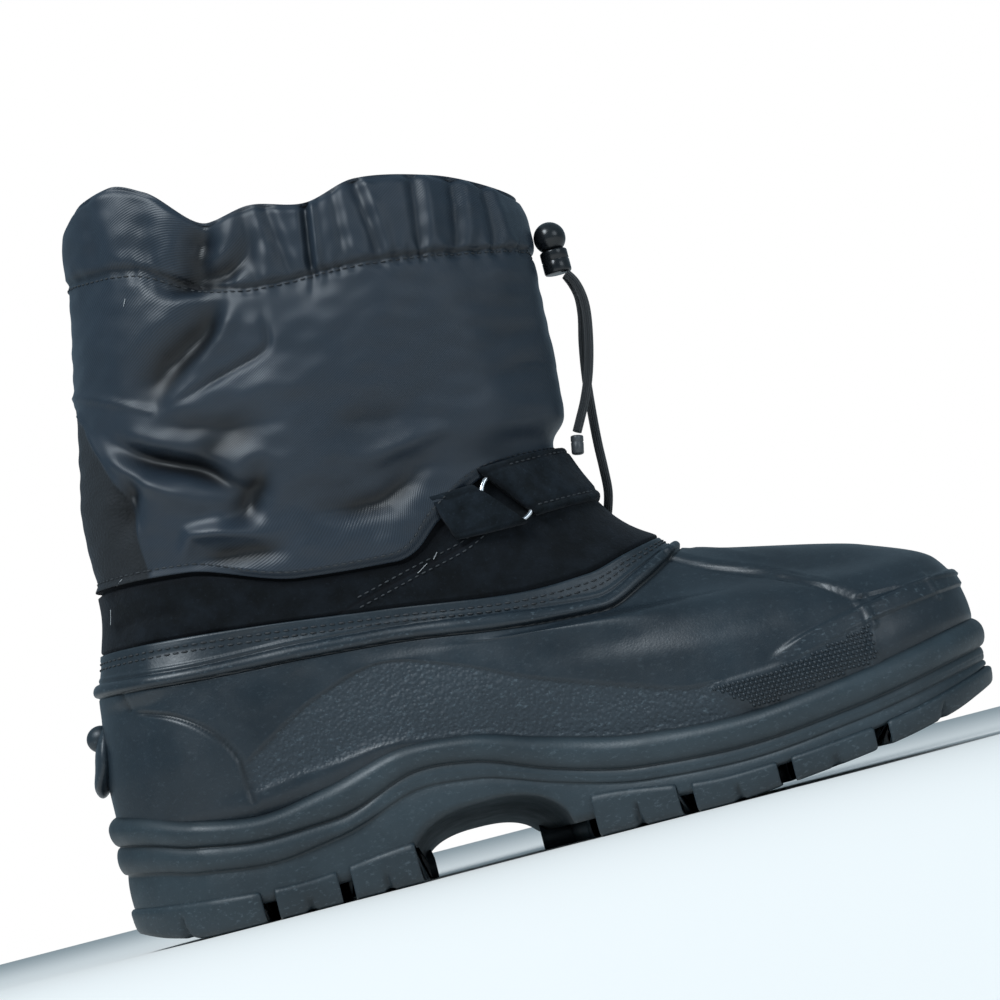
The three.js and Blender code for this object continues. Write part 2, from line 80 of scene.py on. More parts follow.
# %% [markdown]
# ## Finishes: small helpers for node materials
# Every finish is a Principled BSDF with a few textures in front of it. These helpers add one node
# each, so that a material reads like a recipe. A value that is the same everywhere is set on the
# shader's own socket; only what varies over the surface is linked.

# %% Material helpers
def new_material(name, **sockets):
    material = bpy.data.materials.new(name)
    material.use_nodes = True
    shader = material.node_tree.nodes["Principled BSDF"]
    for key, value in sockets.items():
        shader.inputs[key.replace("_", " ")].default_value = value
    return material, material.node_tree, shader


def add(tree, kind, inputs, **settings):
    node = tree.nodes.new(kind)
    for key, value in settings.items():
        setattr(node, key, value)
    for key, value in inputs.items():
        if isinstance(value, bpy.types.NodeSocket):
            tree.links.new(value, node.inputs[key])
        else:
            node.inputs[key].default_value = value
    return node


def object_place(tree, scale=(1, 1, 1), turn=(0, 0, 0)):
    place = add(tree, "ShaderNodeTexCoord", {}).outputs["Object"]
    return add(tree, "ShaderNodeMapping", {"Vector": place, "Scale": scale, "Rotation": turn}).outputs[0]


def cloth_place(tree, scale=(1, 1, 1), turn=(0, 0, 0)):
    place = add(tree, "ShaderNodeUVMap", {}, uv_map="cloth").outputs["UV"]
    return add(tree, "ShaderNodeMapping", {"Vector": place, "Scale": scale, "Rotation": turn}).outputs[0]


def noise(tree, place, scale, detail=3.0, rough=0.5):
    inputs = {"Vector": place, "Scale": scale, "Detail": detail, "Roughness": rough}
    return add(tree, "ShaderNodeTexNoise", inputs).outputs["Fac"]


def cells(tree, place, scale, feature="F1"):
    inputs = {"Vector": place, "Scale": scale}
    return add(tree, "ShaderNodeTexVoronoi", inputs, feature=feature).outputs["Distance"]


def bands(tree, place, scale, distortion=0.0):
    inputs = {"Vector": place, "Scale": scale, "Distortion": distortion, "Detail": 1.0}
    return add(tree, "ShaderNodeTexWave", inputs, bands_direction="X").outputs["Fac"]


def span(tree, value, low, high, to_low=0.0, to_high=1.0):
    inputs = {"Value": value, "From Min": low, "From Max": high, "To Min": to_low, "To Max": to_high}
    return add(tree, "ShaderNodeMapRange", inputs).outputs["Result"]


def combine(tree, operation, a, b):
    return add(tree, "ShaderNodeMath", {0: a, 1: b}, operation=operation).outputs[0]


def tint(tree, share, a, b):
    node = add(tree, "ShaderNodeMix", {0: share}, data_type="RGBA")
    for index, value in ((6, a), (7, b)):
        if isinstance(value, bpy.types.NodeSocket):
            tree.links.new(value, node.inputs[index])
        else:
            node.inputs[index].default_value = (*value, 1)
    return node.outputs[2]


def attribute(tree, name):
    return add(tree, "ShaderNodeAttribute", {}, attribute_name=name).outputs["Fac"]


def bump(tree, height, millimetres, strength=1.0, under=None):
    inputs = {"Height": height, "Distance": millimetres / 1000.0, "Strength": strength}
    if under is not None:
        inputs["Normal"] = under
    return add(tree, "ShaderNodeBump", inputs).outputs[0]


def sink(tree, color, share, dark):
    """The colour darkened by painted shade where the mesh marks hollows and creases."""
    return tint(tree, combine(tree, "MULTIPLY", attribute(tree, "hollow"), share), color, dark)


def dress(tree, shader, **links):
    for key, value in links.items():
        tree.links.new(value, shader.inputs[key.replace("_", " ")])


# %% [markdown]
# ### Rubber
# The shell is satin rubber with a faint leather-like grain. Attributes painted on the mesh tell the
# material where the moulded pebble texture lies and where edges have been rubbed pale. The sole is
# the same rubber, but scuffed and a little greyer from the ground.

# %% Rubber finishes
def rubber(name, deep, pale, rough, grain):
    material, tree, shader = new_material(name, Roughness=rough, Specular_IOR_Level=0.5)
    place = object_place(tree)
    cloudy = noise(tree, place, 28, 4, 0.6)
    color = tint(tree, span(tree, cloudy, 0.35, 0.7), deep, pale)
    pebble = attribute(tree, "pebble")
    color = tint(tree, combine(tree, "MULTIPLY", pebble, 0.4), color, [1.4 * c for c in pale])
    streaks = noise(tree, object_place(tree, (500, 500, 900), (0, 0.5, 0)), 1.0, 5, 0.7)
    scuff = combine(tree, "MULTIPLY", span(tree, streaks, 0.56, 0.74), attribute(tree, "wear"))
    color = tint(tree, scuff, color, (0.085, 0.115, 0.135))
    # Painted shade: the moulding's creases and grooves are darkened in the colour.
    color = sink(tree, color, 0.75, (0.004, 0.005, 0.006))
    rubbed = combine(tree, "ADD", scuff, span(tree, noise(tree, place, 90, 4, 0.65), 0.3, 0.8))
    roughness = span(tree, combine(tree, "ADD", rubbed, pebble), 0, 2, rough - 0.09, rough + 0.28)
    fine = bump(tree, noise(tree, place, 1500, 3, 0.6), 0.05 * grain, 0.6)
    skin_grain = bump(tree, cells(tree, place, 1100), 0.05 * grain, 0.35, fine)
    raised = combine(tree, "MULTIPLY", cells(tree, place, 820, "SMOOTH_F1"), pebble)
    knobbly = bump(tree, raised, 0.5, 0.9, skin_grain)
    waves = bump(tree, noise(tree, place, 60, 2), 0.5, 0.35, knobbly)
    dress(tree, shader, Base_Color=color, Roughness=roughness, Normal=waves)
    return material


shell_rubber = rubber("shell_rubber", (0.010, 0.016, 0.022), (0.017, 0.027, 0.036), 0.38, 1.0)
sole_rubber = rubber("sole_rubber", (0.014, 0.024, 0.031), (0.027, 0.044, 0.055), 0.50, 1.6)

# %% [markdown]
# ### Cloth
# The leg is a nylon twill with a slight shine: fine diagonal ribs, a little sheen, and a sparser
# dark weave on the back panel. The ankle band and the strap are a mottled suede-like cloth. The
# weave follows the cloth's own UV map, which counts tenths of a metre along and up the piece.

# %% Cloth finishes
def nylon_twill():
    material, tree, shader = new_material(
        "shaft_nylon", Roughness=0.4, Sheen_Weight=0.05, Sheen_Roughness=0.4, Specular_IOR_Level=0.45)
    shader.inputs["Sheen Tint"].default_value = (0.55, 0.75, 1.0, 1)
    place = object_place(tree)
    panel = attribute(tree, "panel")
    twill = bands(tree, cloth_place(tree, (1, 1, 1), (0, 0, math.radians(58))), 46.0, 0.4)
    across = bands(tree, cloth_place(tree, (1, 1, 1), (0, 0, math.radians(-32))), 60.0, 0.4)
    weave = combine(tree, "ADD", twill, combine(tree, "MULTIPLY", across, 0.45))
    shade = tint(tree, span(tree, noise(tree, place, 22, 4, 0.6), 0.35, 0.7), (0.009, 0.0145, 0.022),
                 (0.0135, 0.022, 0.034))
    shade = tint(tree, span(tree, weave, 0.4, 1.45), shade, (0.022, 0.034, 0.050))
    shade = tint(tree, panel, shade, (0.0075, 0.0095, 0.012))
    # Painted shade: the hollows of folds, pleats and seams are darkened almost to black.
    shade = sink(tree, shade, 0.95, (0.001, 0.0015, 0.0025))
    gloss = span(tree, noise(tree, place, 70, 3, 0.6), 0.3, 0.75, 0.36, 0.5)
    gloss = combine(tree, "ADD", gloss, combine(tree, "MULTIPLY", panel, 0.35))
    threads = bump(tree, weave, 0.07, 0.5)
    plain = combine(tree, "MULTIPLY", cells(tree, cloth_place(tree), 90.0), panel)
    threads = bump(tree, plain, 0.30, 0.8, threads)
    puckers = bump(tree, noise(tree, place, 160, 3, 0.5), 0.5, 0.30, threads)
    dress(tree, shader, Base_Color=shade, Roughness=gloss, Normal=puckers)
    return material


def suede(name, deep, pale, scale=1.0):
    material, tree, shader = new_material(
        name, Roughness=0.9, Sheen_Weight=0.06, Sheen_Roughness=0.55, Specular_IOR_Level=0.12)
    shader.inputs["Sheen Tint"].default_value = (0.8, 0.86, 0.95, 1)
    place = object_place(tree)
    patches = noise(tree, place, 120 * scale, 5, 0.65)
    color = tint(tree, span(tree, patches, 0.38, 0.68), deep, pale)
    specks = span(tree, noise(tree, place, 900, 2, 0.6), 0.62, 0.75)
    color = tint(tree, combine(tree, "MULTIPLY", specks, 0.4), color, [2.4 * c for c in pale])
    # Painted shade: creases, the band's top under the nylon, and the strap's stitch lines, edges and
    # underside are darkened.
    color = sink(tree, color, 0.8, (0.002, 0.002, 0.003))
    nap = bump(tree, noise(tree, place, 700, 4, 0.7), 0.35, 0.8)
    lumps = bump(tree, patches, 0.8, 0.6, nap)
    dress(tree, shader, Base_Color=color, Roughness=span(tree, patches, 0.3, 0.7, 0.82, 0.98), Normal=lumps)
    return material


shaft_nylon = nylon_twill()
band_suede = suede("band_suede", (0.0025, 0.0035, 0.0045), (0.008, 0.0105, 0.014))
strap_suede = suede("strap_suede", (0.003, 0.005, 0.0065), (0.012, 0.017, 0.023), 1.3)
lining_fleece = suede("lining_fleece", (0.010, 0.010, 0.011), (0.026, 0.026, 0.028), 2.5)
footbed_felt = suede("footbed_felt", (0.018, 0.018, 0.019), (0.036, 0.036, 0.038), 3.0)

# %% [markdown]
# ### Small parts
# The ring is plated steel, the cord lock a glossy black plastic, and the cords a ribbed black
# sleeve whose ribs run along them. Thread is a plain satin fibre, in black and in a stray white.

# %% Small finishes
def simple(name, deep, pale, rough, scale, lump, **sockets):
    material, tree, shader = new_material(name, Roughness=rough, **sockets)
    cloudy = noise(tree, object_place(tree), scale, 4, 0.6)
    color = tint(tree, span(tree, cloudy, 0.35, 0.65), deep, pale)
    roughness = span(tree, cloudy, 0.3, 0.7, rough - 0.06, rough + 0.1)
    dress(tree, shader, Base_Color=color, Roughness=roughness, Normal=bump(tree, cloudy, lump, 0.4))
    return material


def cord_sleeve():
    material, tree, shader = new_material("cord_sleeve", Roughness=0.6, Sheen_Weight=0.15)
    braid = bands(tree, cloth_place(tree, (1, 1, 1)), 0.5 * 9)
    slant = bands(tree, cloth_place(tree, (1, 1, 1), (0, 0, 0.9)), 9.0)
    ribs = combine(tree, "ADD", braid, combine(tree, "MULTIPLY", slant, 0.3))
    color = tint(tree, span(tree, ribs, 0.2, 1.1), (0.003, 0.0035, 0.004), (0.022, 0.026, 0.031))
    dress(tree, shader, Base_Color=color, Normal=bump(tree, ribs, 0.35, 0.9))
    return material


ring_steel = simple("ring_steel", (0.62, 0.63, 0.65), (0.75, 0.76, 0.78), 0.22, 300, 0.02, Metallic=1.0)
lock_plastic = simple("lock_plastic", (0.006, 0.007, 0.009), (0.010, 0.012, 0.014), 0.22, 200, 0.03)
tip_plastic = simple("tip_plastic", (0.05, 0.055, 0.06), (0.085, 0.09, 0.1), 0.35, 250, 0.03)
dark_thread = simple("dark_thread", (0.012, 0.014, 0.017), (0.035, 0.04, 0.046), 0.6, 600, 0.03)
white_thread = simple("white_thread", (0.42, 0.43, 0.44), (0.6, 0.61, 0.62), 0.7, 600, 0.03)
cord_cover = cord_sleeve()
print("finishes:", len(bpy.data.materials))

# %% [markdown]
# ## Curves from short tables
# A boot is all smooth curves. A monotone cubic runs through a few named points and never
# overshoots them, which is how a pattern cutter's French curve behaves.

# %% Smooth curves
def through(points):
    xs, ys = np.array(points, float).T
    slope = np.diff(ys) / np.diff(xs)
    product = slope[:-1] * slope[1:]
    total = np.where(product > 0, slope[:-1] + slope[1:], 1.0)
    tangent = np.concatenate([slope[:1], np.where(product > 0, 2 * product / total, 0.0), slope[-1:]])

    def curve(x):
        x = np.clip(np.asarray(x, float), xs[0], xs[-1])
        i = np.clip(np.searchsorted(xs, x, side="right") - 1, 0, len(xs) - 2)
        width = xs[i + 1] - xs[i]
        t = (x - xs[i]) / width
        rise = ys[i] * (1 + 2 * t) * (1 - t) ** 2 + width * tangent[i] * t * (1 - t) ** 2
        return rise + ys[i + 1] * t * t * (3 - 2 * t) - width * tangent[i + 1] * t * t * (1 - t)

    return curve


def smooth(low, high, x):
    t = np.clip((np.asarray(x, float) - low) / (high - low), 0, 1)
    return t * t * (3 - 2 * t)


# %% [markdown]
# ## The last
# A shoemaker starts from a last, the solid form of the foot. Here it is a stack of closed rows,
# each with its side view (distance from the heel, height) and five half widths. They are the rows
# of the CAD source, in millimetres, so every piece drawn on them fits its solid.

# %% The rows of the last
ROWS = [
    ("floor", 0.45, [(6, 27), (77, 27), (140, 25), (215, 14), (265, 17), (291, 25)], [33, 35, 38, 48, 38]),
    ("cup", 0.45, [(1.5, 42), (150, 38), (220, 34), (299, 42)], [37, 38.5, 42, 51.5, 41.5]),
    ("bulge", 0.45, [(1.5, 56), (150, 54), (220, 50), (298, 51)], [37.5, 39, 42.5, 50, 38.5]),
    ("side", 0.42, [(3, 70), (80, 67), (150, 63), (215, 60), (292.5, 62)], [36.5, 38.5, 41.5, 46, 33]),
    ("vamp", 0.35, [(4.5, 80), (71, 75.5), (138, 71), (205, 68.5), (245, 68.5), (270, 73)],
     [35, 38, 40, 42, 26]),
    ("rim", 0, [(5.5, 88), (57, 83), (108, 78), (160, 72), (180, 72.4), (196, 79), (211, 88)],
     [33, 37.5, 38, 39, 26.5]),
    ("flange", 0, [(9.5, 101.5), (57, 97), (108, 91), (160, 85), (178, 86), (192, 90), (205, 93.5)],
     [29.5, 36, 36.5, 36.5, 24]),
    ("band", 0, [(13, 117), (60, 113), (105, 108), (150, 104), (191, 105)], [27.5, 36.5, 38.5, 36, 22.5]),
    ("ankle", 0, [(13.5, 136), (100, 131), (178.8, 132.5)], [28.5, 39.5, 42, 38.5, 23]),
    ("puff", 0, [(14.3, 149), (100, 144), (185, 143)], [30, 43, 46, 42.5, 27.5]),
    ("calf", 0, [(17.2, 166), (186.5, 160)], [30.5, 44, 47, 44, 28.5]),
    ("mid", 0, [(22, 191), (188.8, 185)], [31, 45, 48.5, 46, 30.5]),
    ("casing", 0, [(29, 232), (54, 227), (80, 212), (95, 208), (131, 207), (188.4, 201.5)],
     [30.5, 43.5, 47, 45, 30]),
    ("collar", 0, [(31.5, 245), (42, 251.5), (53, 252.5), (65, 247), (84, 230.5), (98, 232.5), (117, 228.5),
                   (135, 232.5), (160, 229), (188, 219.5)], [29, 42, 45.5, 43.5, 28]),
]
WIDE_AT = np.array([0.1, 0.3, 0.5, 0.7, 0.9])
TOP = len(ROWS) - 1
axis_y = through([(0, 0), (120, 3.4), (200, 2.2), (255, -3.5), (302, -11)])


def ends(u):
    return 2 * np.sqrt(np.clip(u * (1 - u), 0, None))


def row_values(angle):
    """x, half width and height of every row; angle 0 is the heel, the inner side comes first."""
    rows = []
    for _, lean, side, wide in ROWS:
        f = (1 - np.cos(angle)) / 2
        u = f - lean * f * (1 - f)
        x = side[0][0] + (side[-1][0] - side[0][0]) * u
        full = through(list(zip(WIDE_AT, np.array(wide) / ends(WIDE_AT))))
        rows.append(np.stack([x, full(u) * ends(u) * np.sign(np.sin(angle)), through(side)(x)], -1))
    return np.array(rows)


def last_point(level, angle):
    """Points of the last, in millimetres; level counts rows."""
    level, angle = np.broadcast_arrays(np.asarray(level, float), np.asarray(angle, float))
    flat, where = np.unique(angle.ravel(), return_inverse=True)
    values = row_values(flat)
    slope = np.diff(values, axis=0)
    product = slope[:-1] * slope[1:]
    inner = np.where(product > 0, 2 * product / np.where(product > 0, slope[:-1] + slope[1:], 1), 0)
    tangent = np.concatenate([slope[:1], inner, slope[-1:]])
    height = np.clip(level.ravel(), 0, TOP)
    i = np.minimum(height.astype(int), TOP - 1)
    t = (height - i)[:, None]
    p = values[i, where] * (1 + 2 * t) * (1 - t) ** 2 + tangent[i, where] * t * (1 - t) ** 2
    p = p + values[i + 1, where] * t * t * (3 - 2 * t) - tangent[i + 1, where] * t * t * (1 - t)
    out = np.stack([p[:, 0], axis_y(p[:, 0]) - p[:, 1], p[:, 2]], -1)
    return out.reshape(level.shape + (3,))


def unit(v):
    return v / (np.linalg.norm(v, axis=-1, keepdims=True) + 1e-12)


def last_normal(level, angle):
    level, angle = np.broadcast_arrays(np.asarray(level, float), np.asarray(angle, float))
    along = last_point(level, angle + 0.01) - last_point(level, angle - 0.01)
    up = last_point(np.minimum(TOP, level + 0.02), angle) - last_point(np.maximum(0, level - 0.02), angle)
    return unit(np.cross(along, up))


def skin(level, angle, offset):
    level, angle, offset = np.broadcast_arrays(level, angle, offset)
    return last_point(level, angle) + last_normal(level, angle) * offset[..., None]


# %% [markdown]
# Equal steps of angle would bunch the columns at heel and toe. Equal steps of length along the
# inner side keep the quads square; the outer side mirrors them, so that each column has a twin.

# %% Evenly spaced columns
def even_angles(level, count):
    fine = np.linspace(0, np.pi, 3001)
    p = last_point(level, fine)
    length = np.concatenate([[0], np.cumsum(np.linalg.norm(np.diff(p, axis=0), axis=1))])
    half = np.interp(np.linspace(0, length[-1], count // 2 + 1), length, fine)
    return np.concatenate([half, 2 * np.pi - half[-2:0:-1]])


# %% [markdown]
# ## From grids of points to meshes
# Every large piece is a stack of closed rings. A hollow wall closes on itself both ways like a
# tyre, up the outside and down the inside. A solid stack joins twin columns across each end.

# %% Mesh helpers
def new_object(name, points, faces, materials, slots=None, attributes=None, uv=None):
    """points are millimetres from the heel; faces is a list of index arrays, quads or triangles."""
    mesh = bpy.data.meshes.new(name)
    place = (np.asarray(points).reshape(-1, 3) + [-HEEL_TO_MIDDLE, SIDE_SHIFT, 0]) / 1000.0
    corners = np.concatenate([np.full(len(f), f.shape[1]) for f in faces])
    mesh.vertices.add(len(place))
    mesh.vertices.foreach_set("co", place.ravel().astype(np.float32))
    mesh.loops.add(int(corners.sum()))
    mesh.loops.foreach_set("vertex_index", np.concatenate([f.ravel() for f in faces]).astype(np.int32))
    mesh.polygons.add(len(corners))
    starts = np.concatenate([[0], np.cumsum(corners)[:-1]]).astype(np.int32)
    mesh.polygons.foreach_set("loop_start", starts)
    if slots is not None:
        mesh.polygons.foreach_set("material_index", np.asarray(slots, np.int32))
    if uv is not None:
        mesh.uv_layers.new(name="cloth").data.foreach_set("uv", uv.ravel().astype(np.float32))
    for key, value in (attributes or {}).items():
        layer = mesh.attributes.new(key, "FLOAT", "POINT")
        layer.data.foreach_set("value", np.asarray(value, np.float32).ravel())
    mesh.update(calc_edges=True)
    mesh.validate()
    mesh.polygons.foreach_set("use_smooth", np.ones(len(mesh.polygons), bool))
    for material in materials:
        mesh.materials.append(material)
    obj = bpy.data.objects.new(name, mesh)
    bpy.context.scene.collection.objects.link(obj)
    return obj


def ring_quads(rows, cols, closed):
    r, c = np.meshgrid(np.arange(rows if closed else rows - 1), np.arange(cols), indexing="ij")
    r2, c2 = (r + 1) % rows, (c + 1) % cols
    return np.stack([r * cols + c, r * cols + c2, r2 * cols + c2, r2 * cols + c], -1).reshape(-1, 4)


def twin_caps(rows, cols):
    """Faces that join each column of the first and last ring to its twin on the other side."""
    c = np.arange(1, cols // 2 - 1)
    quads, tris = [], []
    for base, flip in ((0, True), ((rows - 1) * cols, False)):
        q = np.stack([c, c + 1, cols - c - 1, cols - c], -1) + base
        t = np.array([[0, 1, cols - 1], [cols // 2, cols // 2 + 1, cols // 2 - 1]]) + base
        quads.append(q[:, ::-1] if flip else q)
        tris.append(t[:, ::-1] if flip else t)
    return [np.concatenate(quads), np.concatenate(tris)]


def metric_uv(rings):
    """Tenths of a metre round and up a closed wall, for each corner of its quads."""
    rows, cols = rings.shape[:2]
    climb = np.linalg.norm(np.diff(rings, axis=0), axis=2).mean(1)
    height = np.concatenate([[0], np.cumsum(climb), [climb.sum() + 1]])
    step = np.linalg.norm(np.roll(rings, -1, axis=1) - rings, axis=2).mean(0)
    across = np.concatenate([[0], np.cumsum(step)])
    r, c = np.meshgrid(np.arange(rows), np.arange(cols), indexing="ij")
    corners = [np.stack([across[c + i], height[r + j]], -1) for i, j in ((0, 0), (1, 0), (1, 1), (0, 1))]
    return np.stack(corners, 2).reshape(-1, 2) / 100.0


def settle(obj, slot, *nodes):
    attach(obj, "root")
    if nodes:
        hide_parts(*nodes)
    triangles = sum(len(p.vertices) - 2 for p in obj.data.polygons)
    print(f"{obj.name}: {triangles} triangles")
    return obj


# %% [markdown]
# ## Lines drawn on the side of the boot
# Moulded grooves, seams and folds are all drawn as lines in the boot's side view: distance from
# the heel and height. For a vertex, the distance to such a line says how deep the groove is there.

# %% Distance to a drawn line
def to_line(x, z, points):
    """Distance to the line, how far along it (0 to 1), and which side (+1 above or ahead)."""
    points = np.array(points, float)
    length = np.concatenate([[0], np.cumsum(np.linalg.norm(np.diff(points, axis=0), axis=1))])
    best = np.full(np.shape(x), 1e9)
    share = np.zeros(np.shape(x))
    side = np.ones(np.shape(x))
    for i, ((ax, az), (bx, bz)) in enumerate(zip(points[:-1], points[1:])):
        dx, dz = bx - ax, bz - az
        t = np.clip(((x - ax) * dx + (z - az) * dz) / (dx * dx + dz * dz), 0, 1)
        ox, oz = x - ax - t * dx, z - az - t * dz
        d = np.hypot(ox, oz)
        near = d < best
        best = np.where(near, d, best)
        share = np.where(near, (length[i] + t * (length[i + 1] - length[i])) / length[-1], share)
        side = np.where(near, np.sign(dx * oz - dz * ox), side)
    return best, share, side


def rounded(points, steps=8):
    """The drawn line as a smooth curve through its points."""
    points = np.array(points, float)
    length = np.concatenate([[0], np.cumsum(np.linalg.norm(np.diff(points, axis=0), axis=1))])
    at = np.linspace(0, length[-1], steps * (len(points) - 1) + 1)
    return np.stack([through(list(zip(length, points[:, k])))(at) for k in (0, 1)], -1)


def groove(x, z, points, width, fade=0.12):
    """1 on the line, 0 beyond width, softly tapered towards both of its ends."""
    d, share, _ = to_line(x, z, rounded(points))
    taper = smooth(0, fade, share) * smooth(0, fade, 1 - share) if fade else 1.0
    return np.exp(-((d / width) ** 2)) * taper


# %% [markdown]
# ## The outsole
# The sole is moulded rubber. Its side carries two rounded beads that dip at the heel, climb over
# the arch and run forward to the toe. Each ring of the mesh follows one share of the height
# between two of these lines, so the beads stay crisp however they wander.

# %% The sole's lines
feather = through([(0, 48), (15, 44), (30, 39), (54, 35), (75, 38.5), (106, 45.5), (125, 44), (150, 37),
                   (180, 30), (212, 27.5), (250, 31), (302, 41)])
BEAD_PLACES = [0, 54, 85, 112, 160, 215, 302]
BEAD_DEPTHS = {  # how far each line lies under the feather line, at those places
    "upper": [5, 4, 5.5, 4, 5.5, 4.5, 5.5],
    "groove": [10.5, 8.5, 12, 9, 11.5, 10.5, 10.5],
    "lower": [15.5, 12, 15.5, 12.5, 14, 13, 13],
    "under": [20.5, 16.5, 17.5, 15, 16, 15, 15],
}


def below_feather(key):
    depth = through(list(zip(BEAD_PLACES, BEAD_DEPTHS[key])))
    return lambda x: feather(x) - depth(x)


upper_bead, bead_groove = below_feather("upper"), below_feather("groove")
lower_bead, under_bead = below_feather("lower"), below_feather("under")
ground = through([(0, 7), (14, 2.5), (30, 0), (200, 0), (222, 1.6), (260, 6), (282, 10.5), (302, 18)])
LUG_DEPTH = 6.5


def lug_floor(x):
    return ground(x) + LUG_DEPTH


def arch(x, y):
    """Height of the tunnel under the waist: high on the inner side, low and short on the outer."""
    f = (y + 70) / 140
    back, front, top = 97 + 0 * f, 158 - 21 * f, 23.5 - 12.5 * f
    r = np.abs(x - (back + front) / 2) / ((front - back) / 2)
    return np.where(r < 1, top * np.clip(1 - r**2.5, 0, 1) ** 0.4, 0)


# %% The sole's outline in plan
SOLE_COLUMNS = 520
sole_angles = even_angles(1.0, SOLE_COLUMNS)


def outline(angle, offset):
    base = last_point(1.0, angle)
    ahead = last_point(1.0, angle + 0.01) - last_point(1.0, angle - 0.01)
    out = unit(np.stack([ahead[..., 1], -ahead[..., 0], 0 * ahead[..., 0]], -1))
    return base + out * np.asarray(offset, float)[..., None]


# %% Rings of the sole
def between(low, high, share):
    return low + (high - low) * share


def sole_rings():
    a = sole_angles
    plain = outline(a, 0.0)
    x, inside = plain[:, 0], plain[:, 1]
    floor = np.maximum(lug_floor(x), arch(x, inside) + 0.2)
    fade = 0.35 + 0.65 * (1 - smooth(80, 96, x))
    rings, wear, hollow = [], [], []

    def ring(offset, z, worn, dark, inward=1.0):
        p = outline(a, offset + 0 * x)
        p[:, 1] = axis_y(x) + (p[:, 1] - axis_y(x)) * inward
        p[:, 2] = z
        rings.append(p)
        wear.append(worn + 0 * x)
        hollow.append(dark + 0 * x)

    # The dark value of each ring is painted shade: the underside and the creases between the beads and under
    # the flange are darkened.
    for s in np.linspace(0.04, 0.985, 22):
        p_y = axis_y(x) + (inside - axis_y(x)) * s
        ring(-2.2 * s, np.maximum(lug_floor(x), arch(x, p_y)), 0.15, 0.55, s)
    for s in (0.0, 0.03, 0.08, 0.16):
        low = np.maximum(floor, 0)
        ring(-1.6 + 2.6 * math.sqrt(s / 0.16), between(low, under_bead(x), s), 0.4, 0.35 * (1 - s / 0.16))
    for s in np.linspace(0.22, 1, 12):
        z = between(floor, np.maximum(under_bead(x), floor + 1), s)
        ring(1.0 + 0.35 * np.sin(np.pi * s) - 0.4 * s**6, z, 0.5, 0.35 * s**10)
    low = np.maximum(under_bead(x), floor + 1)
    for s in np.linspace(0.08, 1, 9):
        swell = fade * 2.4 * np.sqrt(1 - (1 - s) ** 2)
        z = between(low, np.maximum(lower_bead(x), floor + 2), s)
        ring(0.55 + swell, z, 0.3 + 0.6 * s, 0.5 * (1 - s) ** 3)
    low = np.maximum(lower_bead(x), floor + 2)
    for s in np.linspace(0.12, 1, 8):
        swell = fade * 2.2 * np.sqrt(1 - min(s, 0.995) ** 2)
        ring(0.75 + swell, between(low, bead_groove(x), s), 0.4 * (1 - s), 0.7 * s**4)
    for s in np.linspace(0.07, 1, 13):
        ring(0.55 + 3.0 * math.sqrt(1 - (1 - s) ** 2), between(bead_groove(x), upper_bead(x), s),
             0.2 + 0.7 * s, 0.75 * (1 - s) ** 5)
    for s in np.linspace(0.07, 1, 14):
        ring(-1.6 + 5.15 * math.sqrt(1 - min(s, 0.999) ** 2), between(upper_bead(x), feather(x), s),
             0.9 * (1 - s) ** 2, 0.9 * s**6)
    ring(-2.6, feather(x) - 2, 0, 1)
    bed = last_point(0.0, a)
    for s in (1, 0.96, 0.6, 0.3, 0.04):
        p = bed.copy()
        p[:, 1] = axis_y(p[:, 0]) + (p[:, 1] - axis_y(p[:, 0])) * s * 0.93
        p[:, 2] = bed[:, 2] - 0.8
        rings.append(p)
        wear.append(0 * x)
        hollow.append(0 * x)
    return np.array(rings), np.array(wear), np.array(hollow)


# %% [markdown]
# ### Lugs
# The tread is a row of blocks along each edge, which climb a little up the sole's side, and
# smaller blocks down the middle. Each edge block is swept along the sole's outline with a rounded
# section, and carries one small notch, a sipe, low on its outer face.

# %% Lugs along the edge
HEEL_LUG = 47.0
TOE_LUG, TOE_SKEW = 259.0, 8.0


def lug_row(start, gap, lengths, skews):
    """Back end, front end and skew of lugs that follow one another, a gap apart."""
    row = []
    for length, skew in zip(lengths, skews):
        row.append((start, start + length, skew))
        start += length + gap
    return row


LUGS = lug_row(HEEL_LUG + 4.5, 4.5, (21, 23), (0, 0)) + lug_row(160, 5, (28, 28, 28), (20, 18, 12))
LUG_WIDE = 21.0
lug_top = through([(0, 16), (25, 13), (60, 10.5), (100, 14), (160, 14.5), (205, 9.5), (255, 13), (302, 24)])
SIPES = [20] + [(back + front) / 2 for back, front, _ in LUGS] + [278]


def angle_at(x, inner):
    """The angle where the sole's outline passes x, on its inner or outer side."""
    fine = np.linspace(0, np.pi, 2000)
    found = np.interp(x, outline(fine, 0.0)[:, 0], fine)
    return found if inner else 2 * np.pi - found


